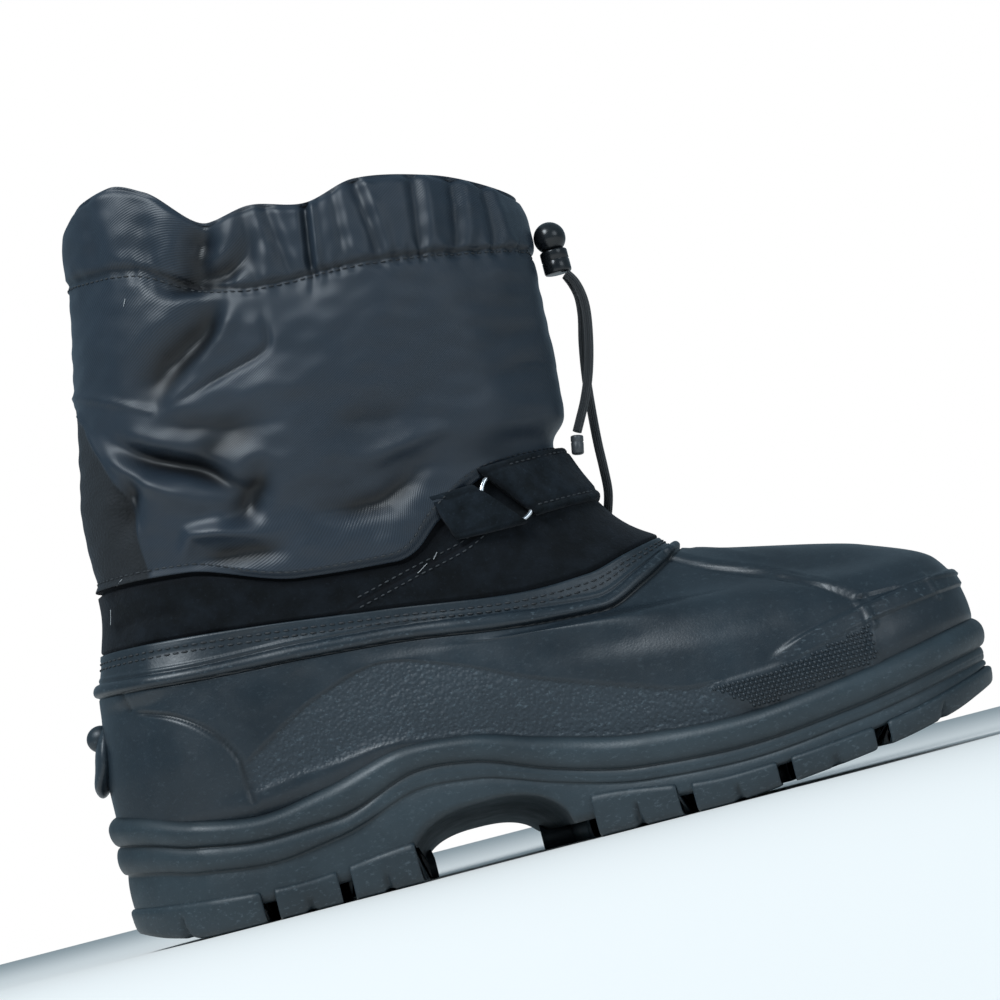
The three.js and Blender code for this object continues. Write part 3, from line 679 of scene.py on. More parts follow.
def lug_between(start, stop):
    """One lug from angle start to stop; the section runs from the inside, under, and up outside."""
    path = outline(np.linspace(start, stop, 400), 0.0)
    length = np.linalg.norm(np.diff(path, axis=0), axis=1).sum()
    columns = max(10, int(length / 0.9))
    u = np.linspace(0, 1, columns)
    ends_in = np.concatenate([[0, 0.35, 0.8], u[1:-1] * 0 + 1, [0.8, 0.35, 0]])
    u = np.concatenate([[0, 0, 0.004], u[1:-1], [0.996, 1, 1]])
    a = start + (stop - start) * u
    x = outline(a, 0.0)[:, 0]
    section = [(-LUG_WIDE, 1.0), (-LUG_WIDE - 0.3, 0.5), (-LUG_WIDE, 0.12), (-LUG_WIDE + 0.8, 0), (-14, 0),
               (-7, 0), (-1.4, 0), (0.2, 0.03), (1.4, 0.09), (2.0, 0.2), (2.3, 0.35), (2.5, 0.5), (2.6, 0.65),
               (2.7, 0.8), (2.5, 0.9), (1.8, 0.97), (0.2, 1.0), (-2.2, 1.0)]
    low, high = ground(x), lug_top(x)
    inner_high = lug_floor(x) + 0.8
    rows, worn = [], []
    for offset, share in section:
        top = np.where(offset < -3, inner_high, high)
        shrink = 1.1 * (1 - ends_in)
        z = low + (top - low) * share
        z = z + shrink * np.where(share < 0.05, 0.6, 0.0) - shrink * (share > 0.9) * 0.6
        off = offset - shrink * (offset > 0) * 0.8
        near = np.min([np.abs(x - s) for s in SIPES], axis=0)
        notch = np.clip(1 - near / (2.2 * np.clip(1 - share / 0.6, 0, 1) + 0.01), 0, 1)
        off = off - 2.8 * notch * (offset > -2) * (share < 0.6)
        z = z + 1.2 * notch * (share < 0.05) * (offset > -6)
        p = outline(a, off)
        p[:, 2] = z
        rows.append(p)
        worn.append(0.25 + 0.75 * (offset > 0.5) * (share > 0.05) * ends_in + 0 * x)
    return np.array(rows), np.array(worn)


def grid_faces(rows, cols):
    """Quads of a strip of sections; rows wrap round the section, columns run along it."""
    r, c = np.meshgrid(np.arange(rows), np.arange(cols - 1), indexing="ij")
    r2 = (r + 1) % rows
    return np.stack([r * cols + c, r * cols + c + 1, r2 * cols + c + 1, r2 * cols + c], -1).reshape(-1, 4)


def section_caps(rows, cols):
    """Quads that close both ends of a swept section, joined across from its two long sides."""
    k = np.arange(rows // 2 - 1)
    quads = []
    for column, flip in ((0, True), (cols - 1, False)):
        q = np.stack([k, k + 1, rows - 2 - k, rows - 1 - k], -1) * cols + column
        quads.append(q[:, ::-1] if flip else q)
    return np.concatenate(quads)


# %% Build the outsole
rings, wear, hollow = sole_rings()
faces = [ring_quads(*rings.shape[:2], False)] + twin_caps(*rings.shape[:2])
points, worn, dark = [rings.reshape(-1, 3)], [wear.ravel()], [hollow.ravel()]


# Each lug also carries a little painted shade, block_dark, all over.
def add_block(block, block_worn, block_dark=0.1):
    rows, cols = block.shape[:2]
    base = sum(len(p) for p in points)
    faces.append(grid_faces(rows, cols) + base)
    faces.append(section_caps(rows, cols) + base)
    points.append(block.reshape(-1, 3))
    worn.append(block_worn.ravel())
    dark.append(np.full(block_worn.size, block_dark))


spans = [(angle_at(HEEL_LUG, False) - 2 * np.pi, angle_at(HEEL_LUG, True))]
spans.append((angle_at(TOE_LUG, True), angle_at(TOE_LUG - TOE_SKEW, False)))
for back, front, skew in LUGS:
    spans.append((angle_at(back, True), angle_at(front, True)))
    spans.append((angle_at(front - skew, False), angle_at(back - skew, False)))
for start, stop in spans:
    add_block(*lug_between(start, stop))
print(len(spans), "edge lugs")

# %% [markdown]
# The middle blocks are plain bevelled bars across the foot, set in from the edge lugs by a groove
# wide enough to shed snow.

# %% Lugs down the middle
def middle_lug(back, front, skew):
    half, lift = 17.0, 1.2
    middle = np.linspace(-half + 3, half - 3, 9)
    y = np.concatenate([[-half, -half, -half + lift], middle, [half - lift, half, half]])
    inset = np.concatenate([[lift, 0.3, 0], np.zeros(9), [0, 0.3, lift]])
    corner = [(0, 1.0), (-0.1, 0.4), (0.25, 0.08), (1.0, 0), (0.5, 0), (-1.0, 0), (-0.25, 0.08), (0.1, 0.4),
              (0, 1.0), (0.5, 1.0)]
    rows = []
    for k, (edge, share) in enumerate(corner):
        lean = skew * (y + 62) / 120
        if k < 4:
            x = back + edge * lift + inset - lean
        elif k == 4 or k == 9:
            x = (back + front) / 2 - lean
        else:
            x = front + edge * lift - inset - lean
        low = ground(x) + 0.05
        rows.append(np.stack([x, y + 2, low + (lug_floor(x) + 1 - low) * share], -1))
    return np.array(rows), np.full((len(rows), len(y)), 0.5)


for back, front, skew in [(19, 42, 0)] + LUGS + [(264, 284, 6)]:
    inside = 4.0 if back != 19 else 0.0
    block, block_worn = middle_lug(back + inside, front - inside, skew)
    if back in (264,):
        block[..., 1] = axis_y(block[..., 0]) + (block[..., 1] - 2) * 0.8
    add_block(block, block_worn)

sole_points, sole_worn, sole_dark = (np.concatenate(v) for v in (points, worn, dark))
outsole = new_object("outsole_rubber", sole_points, faces, [sole_rubber],
                     attributes={"wear": sole_worn, "hollow": sole_dark, "pebble": 0 * sole_worn})
settle(outsole, "sole_rubber", "outsole")

# %% [markdown]
# ## The shell
# The lower boot is one rubber moulding: a smooth side, a panel round the heel, a wavy field of
# pebble texture, a toe cap with a grip band, a raised instep panel, and a rounded rim bead with a
# thin stitched flange above it. All of this relief is one function of the place on the last, so
# the stitches can use it too.

# %% Relief of the shell
rim_shift = through([(0, 0), (35, -0.1), (80, 0.1), (145, 0.25), (190, 0), (211, 0)])
field_top = through([(40, 44), (60, 57), (80, 68), (103, 74), (125, 68), (150, 57), (180, 46), (204, 39.5),
                     (218, 39.5)])
field_rise = through([(40, 5), (60, 8.5), (90, 4.5), (112, 0.8), (130, 0.2)])
grip_top = through([(204, 39), (230, 40), (262, 46), (302, 52)])
cap_top = through([(218, 39), (240, 47.5), (262, 52), (302, 58)])
HEEL_PANEL = [(19, 79), (34, 73), (46, 63), (51, 53), (52, 40)]
HEEL_TICK = [(16, 87), (17, 83), (18, 79)]
INSTEP_EDGE = [(205, 88), (216, 81), (236, 72), (250, 64), (261, 56)]
INSTEP_INNER = [(214, 87), (226, 82), (238, 75)]
CAP_RIDGE = [(260, 56), (262, 50), (264, 43)]
TOE_RIDGE = [(284, 58), (286, 53), (288, 47)]


def field_low(x):
    """The pebble field's lower edge, which runs down to the feather line forward of the waist."""
    return feather(x) + field_rise(x)


def shell_relief(level, angle, p, paint=False):
    """Height of the moulding over the last, and the masks that its rubber is painted with, painted shade in
    its grooves among them.
    """
    x, z = p[..., 0], p[..., 2]
    rim = level - 5 - rim_shift(x)
    bead = np.clip(1 - ((rim - 0.2) / 0.19) ** 2, 0, None) ** 0.5
    height = 1.9 * bead + 0.25 * smooth(0.36, 0.42, rim)
    height -= 0.7 * np.exp(-((rim / 0.03) ** 2)) + 0.3 * np.exp(-(((rim - 0.42) / 0.03) ** 2))
    height -= 0.35 * smooth(0.5, 0.56, rim) * (1 - smooth(0.86, 0.94, rim))
    d, share, side = to_line(x, z, rounded(HEEL_PANEL))
    inside = (side < 0) & (x < 53)
    height += np.where(inside, 0.55 * smooth(0, 1.2, d), 0.0) * smooth(0, 0.2, share) * (z < 80)
    heel_line = np.exp(-((d / 0.75) ** 2)) * smooth(0, 0.08, share)
    height -= 0.8 * heel_line
    tick = groove(x, z, HEEL_TICK, 0.8)
    height -= 0.7 * tick
    in_field = smooth(-0.5, 0.5, field_top(x) - z) * smooth(-0.9, 0.9, z - field_low(x))
    in_field = in_field * smooth(52, 56, x) * (1 - smooth(205, 216, x)) * (x < 217)
    height -= 0.75 * in_field
    roll = np.exp(-(((z - (feather(x) + field_low(x)) / 2) / 3.6) ** 2))
    height += 0.8 * roll * smooth(36, 50, x) * (1 - smooth(100, 116, x))
    slant = smooth(-1, 1, x - (204 + (38.5 - z) * 1.35))
    in_grip = smooth(-0.6, 0.6, grip_top(x) - z) * slant * (1 - smooth(262, 264, x))
    height += 0.5 * in_grip
    above_grip = smooth(-0.3, 1.0, cap_top(x) - z) * smooth(-0.3, 0.3, z - grip_top(x)) * smooth(222, 232, x)
    height += (0.9 * above_grip + 0.35 * smooth(-0.5, 0.5, cap_top(x) - z)) * smooth(225, 240, x)
    edge, share, side = to_line(x, z, rounded(INSTEP_EDGE))
    panel = smooth(0, 1.6, np.where(side > 0, edge, 0)) * smooth(0, 0.1, share)
    front = (x > 204) & (z > 50)
    height += np.where(front & (z > 54.5), 0.9 * panel + 0.9 * np.exp(-(((edge - 0.4) / 0.8) ** 2)), 0)
    height -= np.where(front, 0.5 * np.exp(-(((edge - 1.9) / 0.6) ** 2)) * (side < 0), 0)
    height += 0.45 * groove(x, z, INSTEP_INNER, 0.8)
    cap = 0.9 * groove(x, z, CAP_RIDGE, 1.0) + 0.8 * groove(x, z, TOE_RIDGE, 0.9)
    height += cap + 0.6 * smooth(261.5, 263.5, x + 0.25 * (50 - z)) * smooth(58, 54, z)
    if not paint:
        return height
    wear = 0.25 + 0.6 * bead * (rim > 0.1) + 0.9 * in_field + 0.5 * above_grip + 0.4 * in_grip
    # Painted shade: the crease under the rim bead, the heel panel line, the tick and the top edge of the
    # pebble field are darkened.
    dark = np.exp(-((rim / 0.05) ** 2)) + heel_line * 0.8 + tick * 0.7
    dark += 0.6 * np.exp(-((np.abs(z - field_top(x)) / 0.45) ** 2)) * in_field
    return height, {"pebble": in_field, "wear": np.clip(wear, 0, 1), "hollow": np.clip(dark, 0, 1),
                    "grip": in_grip}


# %% Build the shell
SHELL_COLUMNS = 560
SHELL_WALL, FLANGE_WALL = 3.0, 1.4
shell_angles = even_angles(3.0, SHELL_COLUMNS)
outer_levels = np.concatenate([
    np.linspace(0.35, 5.0, 106), np.linspace(5.03, 5.62, 26), np.linspace(5.67, 6, 8)])
LEVELS, ANGLES = np.meshgrid(outer_levels, shell_angles, indexing="ij")
shell_base = last_point(LEVELS, ANGLES)
shell_height, shell_paint = shell_relief(LEVELS, ANGLES, shell_base, paint=True)
shell_outer = shell_base + last_normal(LEVELS, ANGLES) * shell_height[..., None]
inner_levels = np.concatenate([[6.02], np.linspace(6, 5.5, 4), np.linspace(5.3, 0.35, 14)])
inner_offset = np.concatenate([[-0.6], np.full(4, -FLANGE_WALL), np.full(14, -SHELL_WALL)])
LI, AI = np.meshgrid(inner_levels, shell_angles, indexing="ij")
shell_inner = skin(LI, AI, inner_offset[:, None] + 0 * LI)
shell_rings = np.concatenate([shell_outer, shell_inner])
paint = {k: np.concatenate([v, 0 * LI]) for k, v in shell_paint.items()}
shell_slots = np.repeat(np.arange(len(shell_rings)) >= len(shell_outer) + 1, SHELL_COLUMNS).astype(int)
shell = new_object("shell_moulding", shell_rings, [ring_quads(*shell_rings.shape[:2], True)],
                   [shell_rubber, lining_fleece], shell_slots, paint)
settle(shell, "shell_rubber", "shell")

# %% [markdown]
# ### The heel boss
# A plate with a proud lower lip and a round knob stand out at the back, to push the boot off with
# the other foot. Both are swollen balls pressed into shape, buried in the shell for their inner
# half.

# %% Balls pressed into shape
def ball(segments=40, rings_=20):
    """A unit ball as points and faces, with its poles closed."""
    t = np.linspace(0, np.pi, rings_ + 1)[1:-1]
    a = np.linspace(0, 2 * np.pi, segments, endpoint=False)
    grid = np.stack([np.outer(np.sin(t), np.cos(a)), np.outer(np.sin(t), np.sin(a)),
                     np.outer(np.cos(t), np.ones(segments))], -1)
    body = np.concatenate([grid.reshape(-1, 3), [[0, 0, 1], [0, 0, -1]]])
    quads = ring_quads(rings_ - 1, segments, False)[:, ::-1]
    k = np.arange(segments)
    top = np.stack([k, (k + 1) % segments, np.full(segments, len(body) - 2)], -1)
    base = (rings_ - 2) * segments
    low = np.stack([base + (k + 1) % segments, base + k, np.full(segments, len(body) - 1)], -1)
    return body, [quads, np.concatenate([top, low])]


def heel_boss():
    body, ball_faces = ball()
    plate = body * [4.0, 11.5, 12.5]
    plate[:, 0] -= 1.6 * smooth(-2, -11, plate[:, 2])
    tilt = 0.24
    plate = np.stack([plate[:, 0] * math.cos(tilt) + plate[:, 2] * math.sin(tilt), plate[:, 1],
                      plate[:, 2] * math.cos(tilt) - plate[:, 0] * math.sin(tilt)], -1) + [3.0, 0, 66.5]
    knob = body * [4.9, 4.9, 4.7] + [2.6, 0, 74.6]
    both = np.concatenate([plate, knob])
    join = ball_faces + [f + len(plate) for f in ball_faces]
    worn = {"wear": np.full(len(both), 0.5), "hollow": np.zeros(len(both)), "pebble": np.zeros(len(both))}
    return new_object("heel_boss", both, join, [shell_rubber], attributes=worn)


settle(heel_boss(), "shell_rubber")

# %% [markdown]
# ### The insole
# A felt footbed lies inside, slightly dished where the heel sits.

# %% Build the insole
INSOLE_IN = 3.7
bed_angles = even_angles(0.05, 200)
bed_edge = skin(0.05 + 0 * bed_angles, bed_angles, -INSOLE_IN + 0 * bed_angles)
bed_rings = []
for share, lift in [(0.04, 1), (0.5, 1), (0.98, 1), (1, 1.6), (1, 4.6), (0.985, 5.3), (0.95, 5.5), (0.8, 5.3),
                    (0.6, 5.0), (0.4, 4.8), (0.2, 4.7), (0.04, 4.7)]:
    p = bed_edge.copy()
    p[:, 1] = axis_y(p[:, 0]) + (p[:, 1] - axis_y(p[:, 0])) * share
    p[:, 2] += lift
    bed_rings.append(p)
bed_rings = np.array(bed_rings)
bed_faces = [ring_quads(12, 200, False)] + twin_caps(12, 200)
insole = new_object("insole_felt", bed_rings, bed_faces, [footbed_felt],
                    attributes={"hollow": np.zeros(2400)})
settle(insole, "footbed", "insole")

# %% [markdown]
# ## The ankle band
# A suede-like band is stitched inside the flange and goes up under the nylon. On the inner side an
# overlay runs up towards the strap, and the heel end has gone slack in a few soft creases.

# %% Seam between band and shaft
seam_share = through([(0, 7.55), (0.2, 7.5), (0.4, 7.1), (0.58, 7.15), (0.7, 7.6), (0.85, 8), (1, 8.1)])
SEAM_LAP, SEAM_LIFT = 0.26, 0.04
FABRIC, LAP = 2.8, 1.2


def seam(angle):
    return seam_share((1 - np.cos(angle)) / 2)


def wander(x, z, size, seed):
    """Slow, even waviness, the sum of a few long ripples at fixed slants."""
    picks = np.random.default_rng(seed)
    total = 0.0 * x
    for _ in range(7):
        turn, length, start = picks.uniform(0, np.pi), size * picks.uniform(0.6, 1.6), picks.uniform(0, 6.28)
        total = total + np.sin((x * np.cos(turn) + z * np.sin(turn)) * 2 * np.pi / length + start)
    return total / 3.0


# %% Relief of the band
OVERLAY = [(84, 90), (100, 95), (120, 100), (140, 105), (150, 110)]
HEEL_CREASES = [[(17, 120), (30, 122), (52, 120)], [(18, 108), (30, 109), (44, 107)],
                [(20, 133), (30, 131), (40, 132)], [(24, 98), (40, 100), (58, 97)]]


def band_relief(level, angle, p):
    x, z = p[..., 0], p[..., 2]
    height = 0.35 * wander(x + 0.5 * p[..., 1], z, 26, 4)
    height = height * smooth(6.05, 6.4, level)
    d, share, side = to_line(x, z, rounded(OVERLAY))
    over = smooth(0, 0.7, np.where(side < 0, d, 0)) * smooth(0, 0.06, share) * (x > 84)
    height += 0.75 * over * (z < 112)
    # Darker along the overlay's edge; painted shade in the heel creases; a painted shadow under the nylon's
    # overhanging hem at the top, and painted shade where the band tucks into the flange at the bottom.
    dark = np.exp(-((d / 0.5) ** 2)) * (share > 0.02) * (share < 0.98)
    near = np.abs(np.sin(angle)) > 0.02
    for line in HEEL_CREASES:
        fold = groove(x, z, line, 2.2) * near
        height -= 0.9 * fold
        dark = dark + 0.25 * fold
    rise = seam(angle) - SEAM_LAP
    dark = dark + 0.7 * smooth(rise - 0.22, rise, level) + 0.7 * (1 - smooth(6.0, 6.12, level))
    return height, np.clip(dark, 0, 1)


# %% Build the band
BAND_COLUMNS = 420
band_angles = even_angles(6.5, BAND_COLUMNS)


def band_wall():
    rise = seam(band_angles) - SEAM_LAP

    def at_share(share):
        return 6.08 + (rise - 6.08) * share if share >= 0 else 6.08 + 1.6 * share + 0 * rise

    outer, dark = [], []
    for share in np.concatenate([[-0.30, -0.12, -0.04], np.linspace(0, 1, 56)]):
        level = at_share(share)
        p = last_point(level, band_angles)
        height, shade = band_relief(level, band_angles, p)
        tuck = -2.0 if share < -0.1 else (-1.2 if share < 0 else 0.0)
        under = (LAP - FABRIC) * smooth(0.94, 0.985, share)
        height = height * (1 - smooth(0.9, 0.97, share)) + tuck + under - 0.2 * (share == 0)
        outer.append(p + last_normal(level, band_angles) * height[..., None])
        dark.append(shade)
    # These rings, tucked under the shaft's hem, are painted in full shade.
    for share, depth in ((1.0, LAP - FABRIC), (1.0, -FABRIC)):
        level = rise + SEAM_LAP * share
        outer.append(skin(level, band_angles, depth + 0 * level))
        dark.append(1 + 0 * level)
    for share in np.linspace(0.97, -0.30, 14):
        level = at_share(share)
        outer.append(skin(level, band_angles, (-FABRIC if share > 0 else -2.0 - FABRIC) + 0 * level))
        dark.append(0 * level)
    return np.array(outer), np.array(dark)


band_rings, band_dark = band_wall()
band_slots = np.repeat(np.arange(len(band_rings)) >= 60, BAND_COLUMNS).astype(int)
band = new_object("ankle_band_suede", band_rings, [ring_quads(*band_rings.shape[:2], True)],
                  [band_suede, lining_fleece], band_slots, {"hollow": band_dark})
settle(band, "band_suede", "ankle_band")

# %% [markdown]
# ## The shaft
# The leg is padded nylon, and its folds are what make it look worn and soft. A cloth simulation
# would fold it somewhere, but not where this boot has folded, so the folds are modelled one by one:
# each is a line on the side of the leg with a width and a depth, troughs negative and ridges
# positive. A wide trough beside a narrow ridge reads as cloth that has slumped over itself.

# %% Folds of the inner side
INNER_FOLDS = [  # line, width, depth, how much painted shade its hollow gets
    ([(84, 236), (78, 222), (70, 210)], 6.0, -4.0, 0.5),
    ([(56, 222), (70, 213), (85, 213), (100, 226)], 4.0, -3.4, 0.7),
    ([(84, 216), (74, 197), (56, 186), (42, 168)], 7.0, -4.2, 0.9),
    ([(88, 208), (80, 194), (60, 181)], 4.0, 2.2, 0),
    ([(95, 202), (94, 186), (74, 179), (50, 173)], 1.6, -1.2, 0.25),
    ([(28, 175), (40, 162), (62, 150), (80, 132)], 4.0, -4.4, 0.85),
    ([(24, 178), (40, 154), (67, 136)], 3.2, 1.8, 0),
    ([(28, 134), (34, 147), (39, 160)], 4.5, -2.4, 0.6),
    ([(64, 128), (76, 138), (86, 150)], 5.0, -2.8, 0.7),
    ([(40, 173), (68, 164), (95, 161)], 5.0, -1.8, 0.35),
    ([(50, 156), (70, 157), (92, 161)], 5.5, -1.3, 0.45),
    ([(62, 173), (92, 171), (124, 170)], 6.0, 1.0, 0),
    ([(47, 119), (54, 131), (66, 129), (82, 122)], 2.8, 2.2, 0),
    ([(46, 124), (66, 121), (90, 118)], 4.0, -2.0, 0.7),
    ([(88, 128), (115, 126), (141, 139)], 4.5, -2.2, 0.6),
    ([(112, 137), (128, 142), (146, 145)], 3.4, 1.4, 0),
    ([(100, 150), (120, 154), (142, 153)], 6.0, -1.2, 0.25),
    ([(160, 158), (176, 160), (189, 162)], 4.5, -0.6, 0.1),
    ([(158, 171), (174, 172), (190, 174)], 4.5, -0.5, 0.1),
    ([(150, 187), (170, 184), (190, 186)], 6.0, -0.5, 0.1),
]
OUTER_FOLDS = [
    ([(86, 238), (80, 224), (70, 214), (56, 210)], 6.0, -3.6, 0.5),
    ([(120, 210), (112, 198), (98, 190), (80, 186)], 6.5, -3.2, 0.45),
    ([(30, 178), (48, 165), (70, 158), (96, 156)], 5.0, -3.4, 0.6),
    ([(28, 170), (44, 158), (64, 150), (88, 147)], 3.4, 1.8, 0),
    ([(34, 148), (52, 142), (72, 140), (92, 134)], 4.5, -2.8, 0.6),
    ([(110, 160), (134, 156), (160, 161), (186, 158)], 5.0, -1.8, 0.35),
    ([(104, 136), (126, 141), (150, 140), (176, 147)], 4.0, 1.6, 0),
    ([(96, 176), (120, 178), (148, 174), (180, 178)], 6.0, -1.4, 0.3),
    ([(70, 128), (90, 124), (112, 126)], 4.0, -1.8, 0.5),
]
FOLD_DEPTH, FOLD_TAPER = 1.6, 0.42
BACK_PANEL = [(23, 183), (30, 161), (35, 141), (36, 112)]
PANEL_TOP = [(20, 192), (33, 184), (49, 175)]
CASING_SEAM = 11.9
PLEATS = [  # place, width, depth
    (115, 1.4, 2.8), (105, 2.2, 1.2), (136, 2.0, 1.6), (152, 2.4, 1.8), (165, 2.2, 1.6),
    (176, 1.8, 1.4), (126, 1.8, 0.8), (95, 3.0, 1.2), (60, 5.0, 1.0), (44, 3.0, 0.8)]


def shaft_relief(level, angle, p):
    """Height of the cloth over the last, the painted shade in its folds, pleats and seams, and where the back
    panel lies.
    """
    x, z, across = p[..., 0], p[..., 2], np.sin(angle)
    inner = smooth(0.05, 0.35, across)
    outer = smooth(0.05, 0.35, -across)
    front = smooth(-0.8, -0.97, np.cos(angle))
    height = 0.7 * wander(x + 0.6 * p[..., 1], z, 46, 11) + 0.22 * wander(x - 0.4 * p[..., 1], z * 1.3, 15, 5)
    dark = 0.0 * x
    for folds, where in ((INNER_FOLDS, inner), (OUTER_FOLDS, outer)):
        for line, width, depth, shade in folds:
            g = groove(x, z, line, width, FOLD_TAPER) * where
            height = height + FOLD_DEPTH * depth * g
            # Painted shade in the troughs of the folds.
            dark = dark + 2.0 * shade * g * g
    hem = seam(angle) - SEAM_LAP + SEAM_LIFT
    over = smooth(0, 0.10, level - hem) * (1 - smooth(0.25, 1.3, level - hem))
    puff = smooth(48, 70, x) * (1 - smooth(150, 172, x)) * np.abs(across)
    height = height + 2.6 * over * puff
    casing = level - CASING_SEAM
    tube = np.clip(1 - ((casing - 0.53) / 0.56) ** 2, 0, None) ** 0.5
    height += (0.7 + 0.8 * smooth(40, 90, x)) * tube * (casing > 0)
    height -= 1.1 * np.exp(-((casing / 0.035) ** 2))
    height -= 0.5 * np.exp(-(((casing + 0.10) / 0.06) ** 2))
    # Painted shade in the groove of the casing seam.
    dark = dark + 0.75 * np.exp(-((casing / 0.04) ** 2))
    reach = smooth(-0.55, 0.1, casing) * (0.35 + 0.65 * smooth(0, 0.12, casing))
    for place, width, depth in PLEATS:
        lean = 3.0 * np.sin(place) * (casing - 0.5)
        for sign, shift in ((inner, 0), (outer, 7)):
            dip = np.exp(-(((x - place - shift - lean) / width) ** 2)) * sign * reach
            height = height - depth * dip + 0.45 * depth * np.exp(
                -(((x - place - shift - lean - 1.9 * width) / width) ** 2)) * sign * reach
            # Painted shade in the pleats.
            dark = dark + 0.16 * depth * dip
    small = np.sin(x * 1.15 + 2 * np.sin(x * 0.21)) * np.exp(-((casing / 0.16) ** 2)) * 0.4
    height += small * (0.4 + smooth(80, 130, x))
    d, _, side = to_line(x, z, rounded(BACK_PANEL))
    in_panel = np.where(side < 0, smooth(0, 0.8, d), 0) * (x < 45)
    d2, _, side2 = to_line(x, z, rounded(PANEL_TOP))
    in_panel = in_panel * np.where((side2 < 0), smooth(0, 0.8, d2), 0) * (z < 192)
    welt = np.exp(-((d / 1.0) ** 2)) * (z < 184) + np.exp(-((d2 / 1.2) ** 2))
    height = height + 0.8 * welt * (x < 52) - 0.4 * in_panel
    height = height * (1 - 0.6 * front * (level < 10)) - 0.7 * front
    roll = smooth(12.9, 13.0, level)
    height = height - 0.9 * roll * roll
    edge = smooth(0.0, 0.12, level - hem)
    height = 0.35 + (height - 0.35) * edge
    return height, np.clip(dark, 0, 1), in_panel


# %% Build the shaft
SHAFT_COLUMNS = 520
shaft_angles = even_angles(9.0, SHAFT_COLUMNS)


def shaft_wall():
    hem = seam(shaft_angles) - SEAM_LAP + SEAM_LIFT
    shares = np.concatenate([[0, 0.004, 0.012], np.linspace(0.022, 0.985, 128), [0.993, 1.0]])
    level = hem[None, :] + (TOP - hem[None, :]) * shares[:, None]
    angle = np.broadcast_to(shaft_angles, level.shape)
    p = last_point(level, angle)
    height, dark, panel = shaft_relief(level, angle, p)
    normal = last_normal(level, angle)
    rings = list(p + normal * height[..., None])
    lift = np.array([0, 0, 1.0])
    rim = last_point(TOP, shaft_angles)
    rim_normal = last_normal(TOP, shaft_angles)
    for depth, rise in ((-1.0, 0.7), (-1.8, 0.6), (-2.6, 0.0)):
        rings.append(rim + rim_normal * depth + lift * rise)
    inner_height = shaft_relief(level, angle, p)[0]
    for share in np.concatenate([np.linspace(0.97, 0.10, 26), [0.06, 0.02]]):
        at = np.interp(share, shares, np.arange(len(shares)))
        k = int(at)
        thin = -FABRIC if share > 0.08 else -0.9
        follow = 0.75 * np.minimum(inner_height[k], 0)
        spot = p[k] + normal[k] * (thin + follow)[..., None]
        rings.append(spot)
    rings = np.array(rings)
    extra = len(rings) - len(p)
    pad = np.zeros((extra, SHAFT_COLUMNS))
    return rings, np.concatenate([dark, pad]), np.concatenate([panel, pad]), len(p)


shaft_rings, shaft_dark, shaft_panel, shaft_outer = shaft_wall()
shaft_slots = np.repeat(np.arange(len(shaft_rings)) >= shaft_outer + 2, SHAFT_COLUMNS).astype(int)
shaft = new_object("shaft_cloth", shaft_rings, [ring_quads(*shaft_rings.shape[:2], True)],
                   [shaft_nylon, lining_fleece], shaft_slots,
                   {"hollow": shaft_dark, "panel": shaft_panel}, metric_uv(shaft_rings))
settle(shaft, "shaft_nylon", "shaft")

# %% [markdown]
# ## Strap, tab and ring
# The instep strap crosses the ankle and is folded round a steel ring; a tab on the inner side
# holds the ring down. Both are flat padded strips, so they are modelled directly: a grid of
# points, thicker in the middle of its width, that follows the last and closes round its edges.

# %% Strips that lie on the last
RING_LEVEL, RING_ANGLE, RING_LIFT = 7.46, 2.33, 2.1
RING_RADIUS, RING_WIRE = 9.4, 1.8
strap_middle = through([(2.2, 7.5), (2.7, 7.58), (math.pi, 7.6), (3.7, 7.5), (4.3, 7.25)])


def strap_thick(angle):
    return 2.4 + 2.6 * np.clip(1 - np.abs(angle - RING_ANGLE) / 0.3, 0, 1)


def strip(name, start, stop, low, high, columns, rows, thick, material):
    """start and stop give the ends as angles for a share of the width; low and high its edges."""
    across = np.concatenate([
        [0, 0.004, 0.02, 0.05], np.linspace(0.09, 0.91, rows), [0.95, 0.98, 0.996, 1]])
    along = np.concatenate([
        [0, 0.002, 0.008, 0.02], np.linspace(0.035, 0.965, columns), [0.98, 0.992, 0.998, 1]])
    r, c = np.meshgrid(across, along, indexing="ij")
    angle = start(r) + (stop(r) - start(r)) * c
    level = low(angle) + (high(angle) - low(angle)) * r

    def round_off(t, soft):
        return np.sqrt(1 - (1 - np.clip(np.minimum(t, 1 - t) / soft, 0, 1)) ** 2)

    full = np.minimum(round_off(r, 0.08), round_off(c, 0.02))
    stitched = np.exp(-(((np.minimum(r, 1 - r) - 0.13) / 0.03) ** 2))
    t = thick(angle)
    lumps = 0.35 * wander(angle * 60, level * 27, 14, 9)
    top = 0.4 + t * (0.5 + 0.5 * full) - 0.45 * stitched + (lumps + 0.3 * np.sin(np.pi * r)) * full
    under = 0.35 + t * (0.5 - 0.5 * full) * 0.6
    outer, inner = skin(level, angle, top), skin(level, angle, under)
    section = np.concatenate([outer, inner[::-1]])
    count_rows, cols = section.shape[:2]
    quads = [grid_faces(count_rows, cols), section_caps(count_rows, cols)]
    # Painted shade along the stitch lines, on the rounded edges, and all over the underside.
    shade = np.concatenate([0.5 * stitched + 0.6 * (1 - full), np.ones_like(full)])
    return new_object(name, section, quads, [material], attributes={"hollow": np.clip(shade, 0, 1)})


